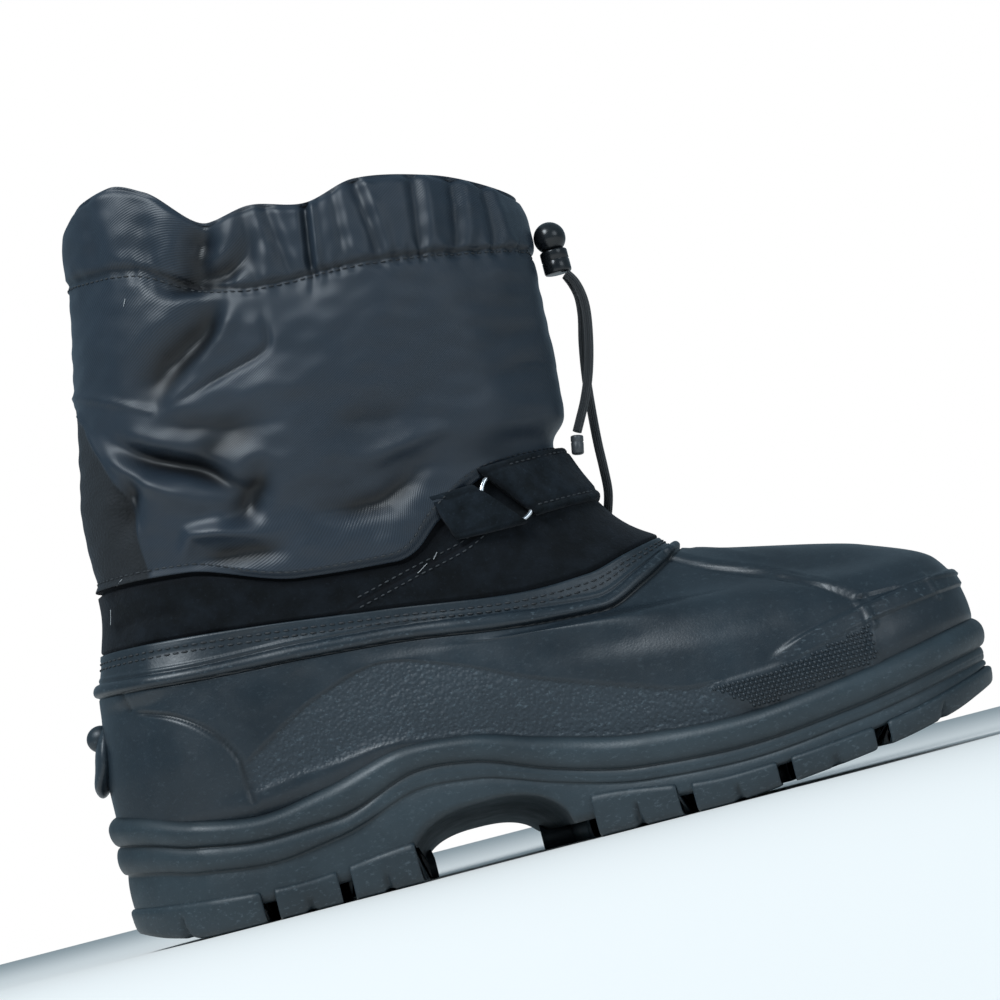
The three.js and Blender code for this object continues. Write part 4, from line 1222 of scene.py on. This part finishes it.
half_strap = 9.5 / 27
strap = strip("instep_strap_cloth", lambda r: 2.4 - 0.14 * r, lambda r: 4.3 + 0 * r,
              lambda a: strap_middle(a) - half_strap, lambda a: strap_middle(a) + half_strap, 96, 18,
              strap_thick, strap_suede)
tab = strip("ring_tab_cloth", lambda r: 2.0 + 0 * r, lambda r: 2.32 - 0.12 * r, lambda a: 7.12 + 0 * a,
            lambda a: 7.68 + 0 * a, 30, 16, strap_thick, strap_suede)
settle(strap, "strap_suede", "instep_strap")
settle(tab, "strap_suede", "ring_tab")


# %% The ring
def ring_frame():
    level, angle = np.array(RING_LEVEL), np.array(RING_ANGLE)
    out = last_normal(level, angle)
    along = last_point(level, angle + 0.15) - last_point(level, angle - 0.15)
    along = unit(along - out * (along @ out))
    return skin(level, angle, np.array(RING_LIFT)), along, np.cross(out, along), out


def steel_ring(wire_facets=18, steps=72):
    centre, along, up, out = ring_frame()
    turn = np.linspace(0, 2 * np.pi, steps, endpoint=False)
    around = np.linspace(0, 2 * np.pi, wire_facets, endpoint=False)
    t, w = np.meshgrid(turn, around, indexing="ij")
    radius = RING_RADIUS + RING_WIRE / 2 * np.cos(w)
    p = centre + along * (radius * np.cos(t))[..., None] + up * (radius * np.sin(t))[..., None]
    p = p + out * (RING_WIRE / 2 * np.sin(w))[..., None]
    return new_object("strap_ring_steel", p, [ring_quads(steps, wire_facets, True)[:, ::-1]], [ring_steel])


settle(steel_ring(), "ring_steel", "strap_ring")

# %% [markdown]
# ## The drawcord and its lock
# A cord lock pinches both ends of the drawcord at the front of the collar. The short end hangs down
# the front to just above the strap, the long one passes it and bends to the outer side.

# %% Cord routes
FRONT_Y = float(axis_y(188))
LONG_CORD = [(197.2, 1.8, 190.6), (198.6, 1.9, 187.2), (199.6, 2, 182.6), (199.2, 2, 176), (197, 2.2, 166),
             (195.2, 2.6, 155), (194, 3, 143), (193.2, 3.5, 131), (193, 4.8, 122), (192.6, 8, 114.5),
             (190.8, 12.5, 108), (188.6, 17, 102.8)]
SHORT_CORD = [(197.4, -1.8, 190.6), (199.4, -1.9, 187.2), (200.6, -2, 182.6), (200.8, -2.1, 177),
              (199, -2.6, 166), (196, -3.2, 155), (192.4, -4, 146), (189, -4.8, 139.5), (187, -5.2, 135.8)]
LONG_TIP = [(188.48, 17.25, 102.5), (186.6, 21.2, 98)]
SHORT_TIP = [(186.6, -5.3, 134.6), (185.3, -5.6, 128)]
CORD_DIAMETER, TIP_DIAMETER = 3.2, 4.4


def route(points, steps):
    """A smooth line through the points, each given from the middle of the boot's front."""
    points = np.array(points, float) + [0, FRONT_Y, 0]
    whole = np.concatenate([[2 * points[0] - points[1]], points, [2 * points[-1] - points[-2]]])
    gaps = np.sqrt(np.linalg.norm(np.diff(whole, axis=0), axis=1))
    out = []
    for i in range(1, len(whole) - 2):
        t0, t1, t2, t3 = np.concatenate([[0], np.cumsum(gaps[i - 1:i + 2])])
        t = np.linspace(t1, t2, steps, endpoint=False)[:, None]
        a = [((b1 - t) * p + (t - b0) * q) / (b1 - b0) for p, q, b0, b1 in
             zip(whole[i - 1:i + 2], whole[i:i + 3], (t0, t1, t2), (t1, t2, t3))]
        b = [((t2 - t) * a[0] + (t - t0) * a[1]) / (t2 - t0), ((t3 - t) * a[1] + (t - t1) * a[2]) / (t3 - t1)]
        out.append(((t2 - t) * b[0] + (t - t1) * b[1]) / (t2 - t1))
    return np.concatenate(out + [points[-1:]])


def pole_fans(rows, sides):
    """Triangles that close a stack of rings to two last points, its low and its high pole."""
    k, low_pole = np.arange(sides), rows * sides
    base = low_pole - sides
    low = np.stack([(k + 1) % sides, k, np.full(sides, low_pole)], -1)
    high = np.stack([base + k, base + (k + 1) % sides, np.full(sides, low_pole + 1)], -1)
    return np.concatenate([low, high])


def tube(name, path, radius, material, sides=20):
    """A capped tube along a path; radius is one number or one for each point."""
    ahead = unit(np.gradient(path, axis=0))
    across = unit(np.cross(ahead, [0, 1, 0.02]))
    over = np.cross(ahead, across)
    turn = np.linspace(0, 2 * np.pi, sides, endpoint=False)
    r = np.broadcast_to(radius, len(path))[:, None, None]
    circle = [v[None, :, None] for v in (np.cos(turn), np.sin(turn))]
    rings = path[:, None] + r * (across[:, None] * circle[0] + over[:, None] * circle[1])
    rows = len(path)
    body = np.concatenate([rings.reshape(-1, 3), path[:1], path[-1:]])
    climb = np.concatenate([[0], np.cumsum(np.linalg.norm(np.diff(path, axis=0), axis=1))])
    r_, c_ = np.meshgrid(np.arange(rows - 1), np.arange(sides), indexing="ij")
    corners = ((0, 0), (1, 0), (1, 1), (0, 1))
    uv = np.stack([np.stack([(c_ + i) / sides, climb[r_ + j] / 10], -1) for i, j in corners], 2)
    uv = np.concatenate([uv.reshape(-1, 2), np.zeros((2 * sides * 3, 2))])
    return new_object(name, body, [ring_quads(rows, sides, False), pole_fans(rows, sides)], [material], uv=uv)


# %% Build the cords and tips
def path_length(path):
    return float(np.linalg.norm(np.diff(path, axis=0), axis=1).sum()) / 1000.0


def cord_tip(name, ends_, node):
    start, stop = (np.array(p, float) + [0, FRONT_Y, 0] for p in ends_)
    share = np.array([0, 0.02, 0.06, 0.3, 0.34, 0.38, 0.9, 0.96, 0.99, 1])
    radius = TIP_DIAMETER / 2 * np.array([0.72, 0.9, 1, 1, 0.9, 1, 0.97, 0.85, 0.6, 0.3])
    piece = tube(name, start + (stop - start) * share[:, None], radius, tip_plastic)
    return settle(piece, "tip_plastic", node)


for name, node, points_, tip_ends in (("long_cord_sleeve", "long_cord", LONG_CORD, LONG_TIP),
                                      ("short_cord_sleeve", "short_cord", SHORT_CORD, SHORT_TIP)):
    path = route(points_, 12)
    cord = settle(tube(name, path, CORD_DIAMETER / 2, cord_cover), "cord", node)
    tip = cord_tip(node + "_tip_cap", tip_ends, node + "_tip")
    print(name, round(path_length(path) * 1000), "mm long")


# %% The cord lock
LOCK_X, LOCK_Z, BARREL_HEIGHT, BARREL_RADIUS, BALL_RADIUS = 194.9, 191.5, 8.2, 4.8, 5.6


def lathe(name, profile, centre, material, sides=48):
    """A closed turned shape; the profile is radius and height, from the axis back to the axis."""
    profile = np.array(profile, float)
    turn = np.linspace(0, 2 * np.pi, sides, endpoint=False)
    middle = profile[1:-1]
    rings = np.stack([np.outer(middle[:, 0], np.cos(turn)), np.outer(middle[:, 0], np.sin(turn)),
                      np.outer(middle[:, 1], np.ones(sides))], -1)
    body = np.concatenate([rings.reshape(-1, 3), [[0, 0, profile[0, 1]], [0, 0, profile[-1, 1]]]]) + centre
    rows = len(middle)
    return new_object(name, body, [ring_quads(rows, sides, False), pole_fans(rows, sides)], [material])


def round_corner(radius, height, soft, steps=5):
    turn = np.linspace(0, np.pi / 2, steps)
    return [(radius - soft + soft * math.cos(t), height - soft + soft * math.sin(t)) for t in turn]


barrel_profile = [(0, 0), (BARREL_RADIUS - 0.9, 0), (BARREL_RADIUS - 0.25, 0.2), (BARREL_RADIUS, 0.8),
                  (BARREL_RADIUS, 4.2), (BARREL_RADIUS - 0.3, 4.5), (BARREL_RADIUS, 4.8)]
barrel_profile += round_corner(BARREL_RADIUS, BARREL_HEIGHT, 0.7)
barrel_profile += [(3.7, BARREL_HEIGHT - 0.3), (3.6, 5.8), (0, 5.7)]
ball_turn = np.linspace(-np.pi / 2, np.pi / 2, 26)
ball_profile = [(BALL_RADIUS * math.cos(t), BALL_RADIUS * math.sin(t)) for t in ball_turn]
at = np.array([LOCK_X, FRONT_Y, LOCK_Z])
settle(lathe("lock_barrel_turned", barrel_profile, at, lock_plastic), "lock_plastic", "lock_barrel")
button = lathe("lock_button_turned", ball_profile, at + [0, 0, BARREL_HEIGHT + 4.6], lock_plastic)
settle(button, "lock_plastic", "lock_button")

# %% [markdown]
# ## Stitches with Geometry Nodes
# A seam repeats one stitch along a line, which is what Geometry Nodes are for. The tree puts a
# small squashed ball on each vertex, turned to lie along the seam and flat on the cloth by two
# attributes that the vertices carry. The same tree sets the grip studs of the toe. Its result is
# turned into a plain mesh, because an exported file can't hold instances.

# %% The stitch tree
def stitch_tree():
    tree = bpy.data.node_groups.new("stitches", "GeometryNodeTree")
    face = tree.interface
    face.new_socket("Geometry", in_out="INPUT", socket_type="NodeSocketGeometry")
    for label, value in (("Length", 0.0024), ("Width", 0.0008), ("Height", 0.0006), ("Unevenness", 0.1)):
        socket = face.new_socket(label, in_out="INPUT", socket_type="NodeSocketFloat")
        socket.default_value = value
    for label, value in (("Sides", 6), ("Rings", 4), ("Seed", 7)):
        socket = face.new_socket(label, in_out="INPUT", socket_type="NodeSocketInt")
        socket.default_value = value
    face.new_socket("Material", in_out="INPUT", socket_type="NodeSocketMaterial")
    face.new_socket("Geometry", in_out="OUTPUT", socket_type="NodeSocketGeometry")
    source, sink = tree.nodes.new("NodeGroupInput"), tree.nodes.new("NodeGroupOutput")

    def named(label):
        node = tree.nodes.new("GeometryNodeInputNamedAttribute")
        node.data_type = "FLOAT_VECTOR"
        node.inputs["Name"].default_value = label
        return node.outputs["Attribute"]

    turn = add(tree, "FunctionNodeAxesToRotation",
               {"Primary Axis": named("along"), "Secondary Axis": named("out")},
               primary_axis="X", secondary_axis="Z")
    size = add(tree, "ShaderNodeCombineXYZ",
               {"X": source.outputs["Length"], "Y": source.outputs["Width"], "Z": source.outputs["Height"]})
    vary = add(tree, "FunctionNodeRandomValue",
               {"Min": 0.85, "Max": 1.1, "Seed": source.outputs["Seed"]}, data_type="FLOAT")
    vary_out = [s for s in vary.outputs if s.enabled][0]
    ones = add(tree, "ShaderNodeMath", {0: vary_out, 1: 1.0}, operation="SUBTRACT")
    uneven = add(tree, "ShaderNodeMath", {0: ones.outputs[0], 1: source.outputs["Unevenness"]},
                 operation="MULTIPLY")
    grow = add(tree, "ShaderNodeMath", {0: uneven.outputs[0], 1: 1.0}, operation="ADD")
    scaled = add(tree, "ShaderNodeVectorMath", {0: size.outputs[0], "Scale": grow.outputs[0]},
                 operation="SCALE")
    shape = add(tree, "GeometryNodeMeshUVSphere",
                {"Segments": source.outputs["Sides"], "Rings": source.outputs["Rings"], "Radius": 0.5})
    place = add(tree, "GeometryNodeInstanceOnPoints",
                {"Points": source.outputs["Geometry"], "Instance": shape.outputs["Mesh"],
                 "Rotation": turn.outputs[0], "Scale": scaled.outputs[0]})
    real = add(tree, "GeometryNodeRealizeInstances", {"Geometry": place.outputs[0]})
    look = add(tree, "GeometryNodeSetMaterial",
               {"Geometry": real.outputs[0], "Material": source.outputs["Material"]})
    tree.links.new(look.outputs[0], sink.inputs[0])
    return tree


STITCHES = stitch_tree()
IDENTIFIERS = {item.name: item.identifier for item in STITCHES.interface.items_tree if item.in_out == "INPUT"}


def sew(name, centres, along, out, slot, material, **sizes):
    """One object with a stitch at each centre. Sizes are in metres."""
    mesh = bpy.data.meshes.new(name + "_line")
    place = (centres + [-HEEL_TO_MIDDLE, SIDE_SHIFT, 0]) / 1000.0
    mesh.from_pydata([tuple(p) for p in place], [], [])
    for key, value in (("along", along), ("out", out)):
        layer = mesh.attributes.new(key, "FLOAT_VECTOR", "POINT")
        layer.data.foreach_set("vector", value.astype(np.float32).ravel())
    line = bpy.data.objects.new(name + "_line", mesh)
    bpy.context.scene.collection.objects.link(line)
    modifier = line.modifiers.new("stitches", "NODES")
    modifier.node_group = STITCHES
    for key, value in sizes.items():
        modifier[IDENTIFIERS[key]] = value
    modifier[IDENTIFIERS["Material"]] = material
    bpy.context.view_layer.update()
    evaluated = line.evaluated_get(bpy.context.evaluated_depsgraph_get())
    done = bpy.data.meshes.new_from_object(evaluated)
    bpy.data.objects.remove(line)
    done.polygons.foreach_set("use_smooth", np.ones(len(done.polygons), bool))
    obj = bpy.data.objects.new(name, done)
    bpy.context.scene.collection.objects.link(obj)
    return settle(obj, slot)


# %% Seams along the last
def seam_line(level, angles, relief, spacing, lift):
    """Evenly spaced places along a line of the last, with its direction and the way out."""
    levels = level(angles)
    p = last_point(levels, angles)
    height = relief(levels, angles, p)
    height = height[0] if isinstance(height, tuple) else height
    n = last_normal(levels, angles)
    p = p + n * (height + lift)[..., None]
    length = np.concatenate([[0], np.cumsum(np.linalg.norm(np.diff(p, axis=0), axis=1))])
    at_ = np.arange(spacing / 2, length[-1], spacing)
    centres = np.stack([np.interp(at_, length, p[:, k]) for k in range(3)], -1)
    outs = unit(np.stack([np.interp(at_, length, n[:, k]) for k in range(3)], -1))
    along = unit(np.stack([np.interp(at_ + 0.2, length, p[:, k]) - np.interp(at_ - 0.2, length, p[:, k])
                           for k in range(3)], -1))
    return centres, along, outs


def join_lines(lines):
    return [np.concatenate(parts) for parts in zip(*lines)]


SEWN = {"Sides": 6, "Rings": 4, "Unevenness": 0.8}
round_boot = np.linspace(0, 2 * np.pi, 1500)
flange_rows = [seam_line(lambda a, k=k: k + 0 * a, round_boot, shell_relief, 3.1, 0.1) for k in (5.70, 5.83)]
sew("flange_stitches", *join_lines(flange_rows), "shell_rubber", dark_thread, Length=0.0024, Width=0.0008,
    Height=0.0007, **SEWN)

casing_rows = [seam_line(lambda a: CASING_SEAM - 0.07 + 0 * a, round_boot, shaft_relief, 2.7, 0.15),
               seam_line(lambda a: seam(a) - SEAM_LAP + SEAM_LIFT + 0.13, round_boot, shaft_relief,
                         2.7, 0.15)]
sew("shaft_stitches", *join_lines(casing_rows), "shaft_nylon", dark_thread, Length=0.0021, Width=0.0006,
    Height=0.0005, **SEWN)


# %% Seams drawn on the side
def level_and_angle(x, z, inner, low, high):
    """The place on the last that the side view shows at x, z: the nearest of a grid, then Newton steps."""
    x, z = np.asarray(x, float), np.asarray(z, float)
    grid_l, grid_a = np.meshgrid(
        np.linspace(low, high, 60), np.linspace(0.05, np.pi - 0.05, 120), indexing="ij")
    spread = last_point(grid_l, grid_a)
    gap = (spread[..., 0].ravel()[None] - x[:, None]) ** 2 + (spread[..., 2].ravel()[None] - z[:, None]) ** 2
    nearest = gap.argmin(1)
    level, angle = grid_l.ravel()[nearest].copy(), grid_a.ravel()[nearest].copy()
    for _ in range(6):
        p = last_point(level, angle)
        dl = (last_point(level + 0.01, angle) - p) / 0.01
        da = (last_point(level, angle + 0.01) - p) / 0.01
        ex, ez = x - p[..., 0], z - p[..., 2]
        det = dl[..., 0] * da[..., 2] - dl[..., 2] * da[..., 0]
        level = level + np.clip((ex * da[..., 2] - ez * da[..., 0]) / det, -0.3, 0.3)
        angle = angle + np.clip((dl[..., 0] * ez - dl[..., 2] * ex) / det, -0.1, 0.1)
    return level, (angle if inner else 2 * np.pi - angle)


def drawn_seam(points, inner, relief, spacing, lift, low, high):
    line = rounded(points)
    length = np.concatenate([[0], np.cumsum(np.linalg.norm(np.diff(line, axis=0), axis=1))])
    at_ = np.arange(1, length[-1], 1.5)
    x, z = (np.interp(at_, length, line[:, k]) for k in (0, 1))
    level, angle = level_and_angle(x, z, inner, low, high)

    def order(a):
        return np.interp(a, angle, level) if inner else np.interp(-a, -angle, level)

    ends_ = np.linspace(angle[0], angle[-1], 200)
    return seam_line(order, ends_, relief, spacing, lift)


overlay_up = [(x, z + 1.6) for x, z in OVERLAY[1:]]
overlay_low = [(x, z - 1.8) for x, z in OVERLAY[1:]]
overlay_rows = [drawn_seam(line, inner, band_relief, 2.6, 0.15, 5.9, 7.6)
                for line in (overlay_low, overlay_up) for inner in (True, False)]
sew("band_stitches", *join_lines(overlay_rows), "band_suede", dark_thread, Length=0.0020, Width=0.0006,
    Height=0.0005, **SEWN)


def strap_height(level, angle, p):
    return 0.4 + strap_thick(angle) - 0.35


strap_angles = np.linspace(2.42, 4.28, 400)
strap_rows = [
    seam_line(lambda a, s=s: strap_middle(a) + s * half_strap * 0.74, strap_angles, strap_height, 2.7, 0.1)
    for s in (-1, 1)]
sew("strap_stitches", *join_lines(strap_rows), "strap_suede", dark_thread, Length=0.0021, Width=0.0007,
    Height=0.0006, **SEWN)

# %% [markdown]
# ### Grip studs on the toe
# The band round the toe is covered with small six-sided studs in a honeycomb. Each lies where the
# side view's lattice meets the shell.

# %% Grip studs
STUD_PITCH = 1.6


def studs():
    x, z = [], []
    for row, height in enumerate(np.arange(26.5, 48, STUD_PITCH * 0.866)):
        xs = np.arange(203, 262, STUD_PITCH) + (row % 2) * STUD_PITCH / 2
        keep = (height < grip_top(xs) - 1.0) & (height > feather(xs) + 1.0)
        keep = keep & (xs > 206.5 + (38.5 - height) * 1.35)
        x.append(xs[keep])
        z.append(np.full(keep.sum(), height))
    x, z = np.concatenate(x), np.concatenate(z)
    lines = []
    for inner in (True, False):
        level, angle = level_and_angle(x, z, inner, 0.5, 1.9)
        p = last_point(level, angle)
        n = last_normal(level, angle)
        along = unit(last_point(level, angle + 0.02) - last_point(level, angle - 0.02))
        lines.append((p + n * (shell_relief(level, angle, p) + 0.05)[..., None], along, n))
    return join_lines(lines)


sew("grip_studs", *studs(), "shell_rubber", shell_rubber, Length=0.00145, Width=0.00145, Height=0.0011,
    Sides=6, Rings=4, Unevenness=0.3)

# %% [markdown]
# ### Loose threads
# A few ends of white thread stick to the boot where seams have frayed.

# %% Loose threads
THREADS = [(18, 113, 4.5, 1.3), (24, 123, 2.4, 0.4), (50, 213, 2, 1.1), (125, 101, 4, 0.5),
           (130, 104, 2, 0.8)]  # place, height, length, slant


def loose_threads():
    centres, along, out = [], [], []
    for x, z, length, slant in THREADS:
        ahead = np.array([math.cos(slant), 0, math.sin(slant)])
        relief = shaft_relief if z > 140 else band_relief
        for k in np.arange(-length / 2, length / 2 + 0.1, 0.6):
            px = x + ahead[0] * k
            pz = z + ahead[2] * k + 0.15 * math.sin(k * 1.1)
            level, angle = level_and_angle([px], [pz], True, 6.0, 12.95)
            p = last_point(level, angle)
            n = last_normal(level, angle)
            centres.append((p + n * (relief(level, angle, p)[0] + 0.35)[..., None])[0])
            along.append(ahead)
            out.append(n[0])
    return np.array(centres), np.array(along), np.array(out)


sew("loose_threads", *loose_threads(), "strap_suede", white_thread, Length=0.0010, Width=0.0002,
    Height=0.0002, Sides=6, Rings=4, Unevenness=0.5)

# %% [markdown]
# ## The studio
# A pale floor and two soft lights: a large one high on the camera's left, and a weaker one from
# the front right. The world gives a dim, cool light, so the rubber has something to reflect, and
# the camera sees it as white.

# %% Floor and lights
def add_floor(size=6.0):
    mesh = bpy.data.meshes.new("floor")
    s = size / 2
    mesh.from_pydata([(-s, -s, 0), (s, -s, 0), (s, s, 0), (-s, s, 0)], [], [(0, 1, 2, 3)])
    floor = bpy.data.objects.new("floor", mesh)
    bpy.context.scene.collection.objects.link(floor)
    material, _, _ = new_material("floor_paper", Base_Color=(0.97, 0.92, 0.87, 1), Roughness=0.9)
    mesh.materials.append(material)


def add_light(name, place, aim, size, watts, color=(1, 1, 1)):
    data = bpy.data.lights.new(name, "AREA")
    data.shape, data.size, data.energy, data.color = "DISK", size, watts, color
    light = bpy.data.objects.new(name, data)
    light.location = place
    light.rotation_euler = (Vector(aim) - Vector(place)).to_track_quat("-Z", "Y").to_euler()
    bpy.context.scene.collection.objects.link(light)


def set_world(color, strength):
    world = bpy.data.worlds.new("studio")
    world.use_nodes = True
    background = world.node_tree.nodes["Background"]
    seen = add(world.node_tree, "ShaderNodeLightPath", {}).outputs["Is Camera Ray"]
    world.node_tree.links.new(tint(world.node_tree, seen, color, (1, 1, 1)), background.inputs["Color"])
    lift = add(world.node_tree, "ShaderNodeMapRange", {0: seen, 3: strength, 4: 1.0}).outputs[0]
    world.node_tree.links.new(lift, background.inputs["Strength"])
    bpy.context.scene.world = world


add_floor()
add_light("key", (-0.7, -1.0, 1.5), (0, 0, 0.1), 0.9, 27, (0.86, 0.94, 1))
add_light("fill", (1.1, -1.1, 0.7), (0, 0, 0.1), 0.8, 4, (0.85, 0.93, 1))
set_world((0.60, 0.83, 1.0), 0.34)
bpy.context.scene.view_settings.view_transform = "Standard"
print("studio ready")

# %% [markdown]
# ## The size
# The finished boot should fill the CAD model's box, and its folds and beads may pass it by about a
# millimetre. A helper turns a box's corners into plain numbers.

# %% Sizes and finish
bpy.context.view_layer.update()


def plain(box):
    return [[float(v) for v in corner] for corner in box]
